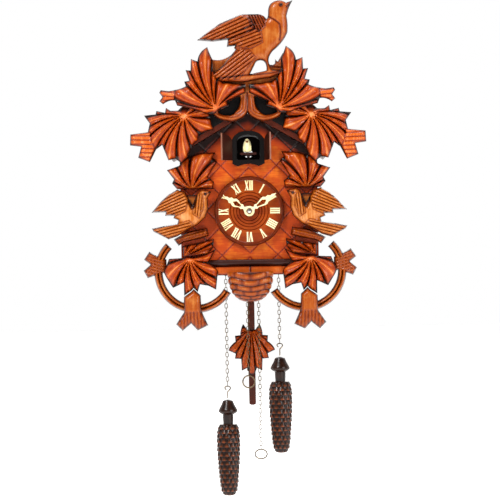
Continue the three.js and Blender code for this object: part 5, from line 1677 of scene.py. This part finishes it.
@dataclass
class Pendulum:
    """The pendulum's carved leaf; its rod and hanger keep their CAD shape."""

    half: Points = ((0, 19), (4, 20), (8.5, 26), (11.5, 20, 11.5, 14.5), (17, 14), (16.5, 8),
                    (22.5, 4, 24, -1), (16.5, -4.5), (17.5, -9.5), (11, -10), (10.5, -22),
                    (5, -19.5), (3, -25), (0, -26.5))
    middle_z: float = -202.0

    def build(self) -> None:
        """Carves the leaf, its left half mirrored from its right."""
        mid = self.middle_z
        right = [[value + mid * (place % 2) for place, value in enumerate(corner)]
                 for corner in self.half]
        left: list[list[float]] = []
        for index in range(len(right) - 1, 0, -1):
            here, before = right[index], right[index - 1]
            end = [-before[-2], before[-1]]
            left.append([-here[0], here[1], *end] if len(here) == 4 else end)
        outline = [*right, *left[:-1]]
        tips = ((-12, 15), (-17, 8), (-17, -5), (-11, -10), (-3.5, -22), (3.5, -22), (11, -10),
                (17, -5), (17, 8), (12, 15))
        relief = Fan((0, mid + 22), [(x, mid + z) for x, z in tips], 3.3,
                     channels=2, gouge=0.36, roll=1.8)
        low, high = box_mm("pendulum_leaf")
        leaf = carve("pendulum_leaf_carved", outline, -high[1], -low[1] - 3.1, relief, spacing=0.7)
        place(leaf, Finish.LEAF, "pendulum", "leaf_wood", "pendulum_leaf")


@dataclass
class Case:
    """The box, the movement and its fittings, which keep their CAD shapes."""

    finishes: dict[Finish, Sequence[str]] = field(default_factory=lambda: {
        Finish.CASE: ("left_side_panel", "right_side_panel", "floor_board", "back_panel", "service_door"),
        Finish.ROOF: ("left_roof_board", "right_roof_board", "pendulum_rod"),
        Finish.GREY: ("movement_housing", "movement_cover", "set_knob"),
        Finish.CREAM: ("hour_wheel", "motion_wheel", "mode_switch"),
        Finish.BLACK: ("speaker",),
        Finish.CELL: ("battery_a", "battery_b"),
        Finish.STEEL: ("minute_arbor", "hand_nut", "pendulum_hanger"),
    })

    def build(self) -> None:
        """Dresses the CAD nodes named in its table with their finishes."""
        done = {name: finish for finish, names in self.finishes.items() for name in names}
        for name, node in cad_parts.items():
            if name in done:
                done[name].dress(node)
                LOG.info("%s: %s", name, done[name].value.name)


def main() -> None:
    """Builds the clock in order: camera, chains, weights, case, carvings, dial and doorway."""
    logging.basicConfig(level=logging.INFO, format="%(message)s")
    Studio().build()
    for chain in (
        Chain("left_chain_fall", "left_hook", False, "left_fall", "left_weight"),
        Chain("left_chain_tail", "left_pull_ring", True, "left_tail", "left_ring"),
        Chain("right_chain_fall", "right_hook", False, "right_fall", "right_weight"),
        Chain("right_chain_tail", "right_pull_ring", True, "right_tail", "right_ring"),
    ):
        chain.build()
    Weight("left_cone", "left_weight").build()
    Weight("right_cone", "right_weight").build()
    Case().build()
    Front().build()
    Leaves().build()
    TopBird().build()
    SideBirds().build()
    Vines().build()
    Doorway().build()
    Dial().build()
    Pendulum().build()


if __name__ == "__main__":
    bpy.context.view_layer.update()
    main()
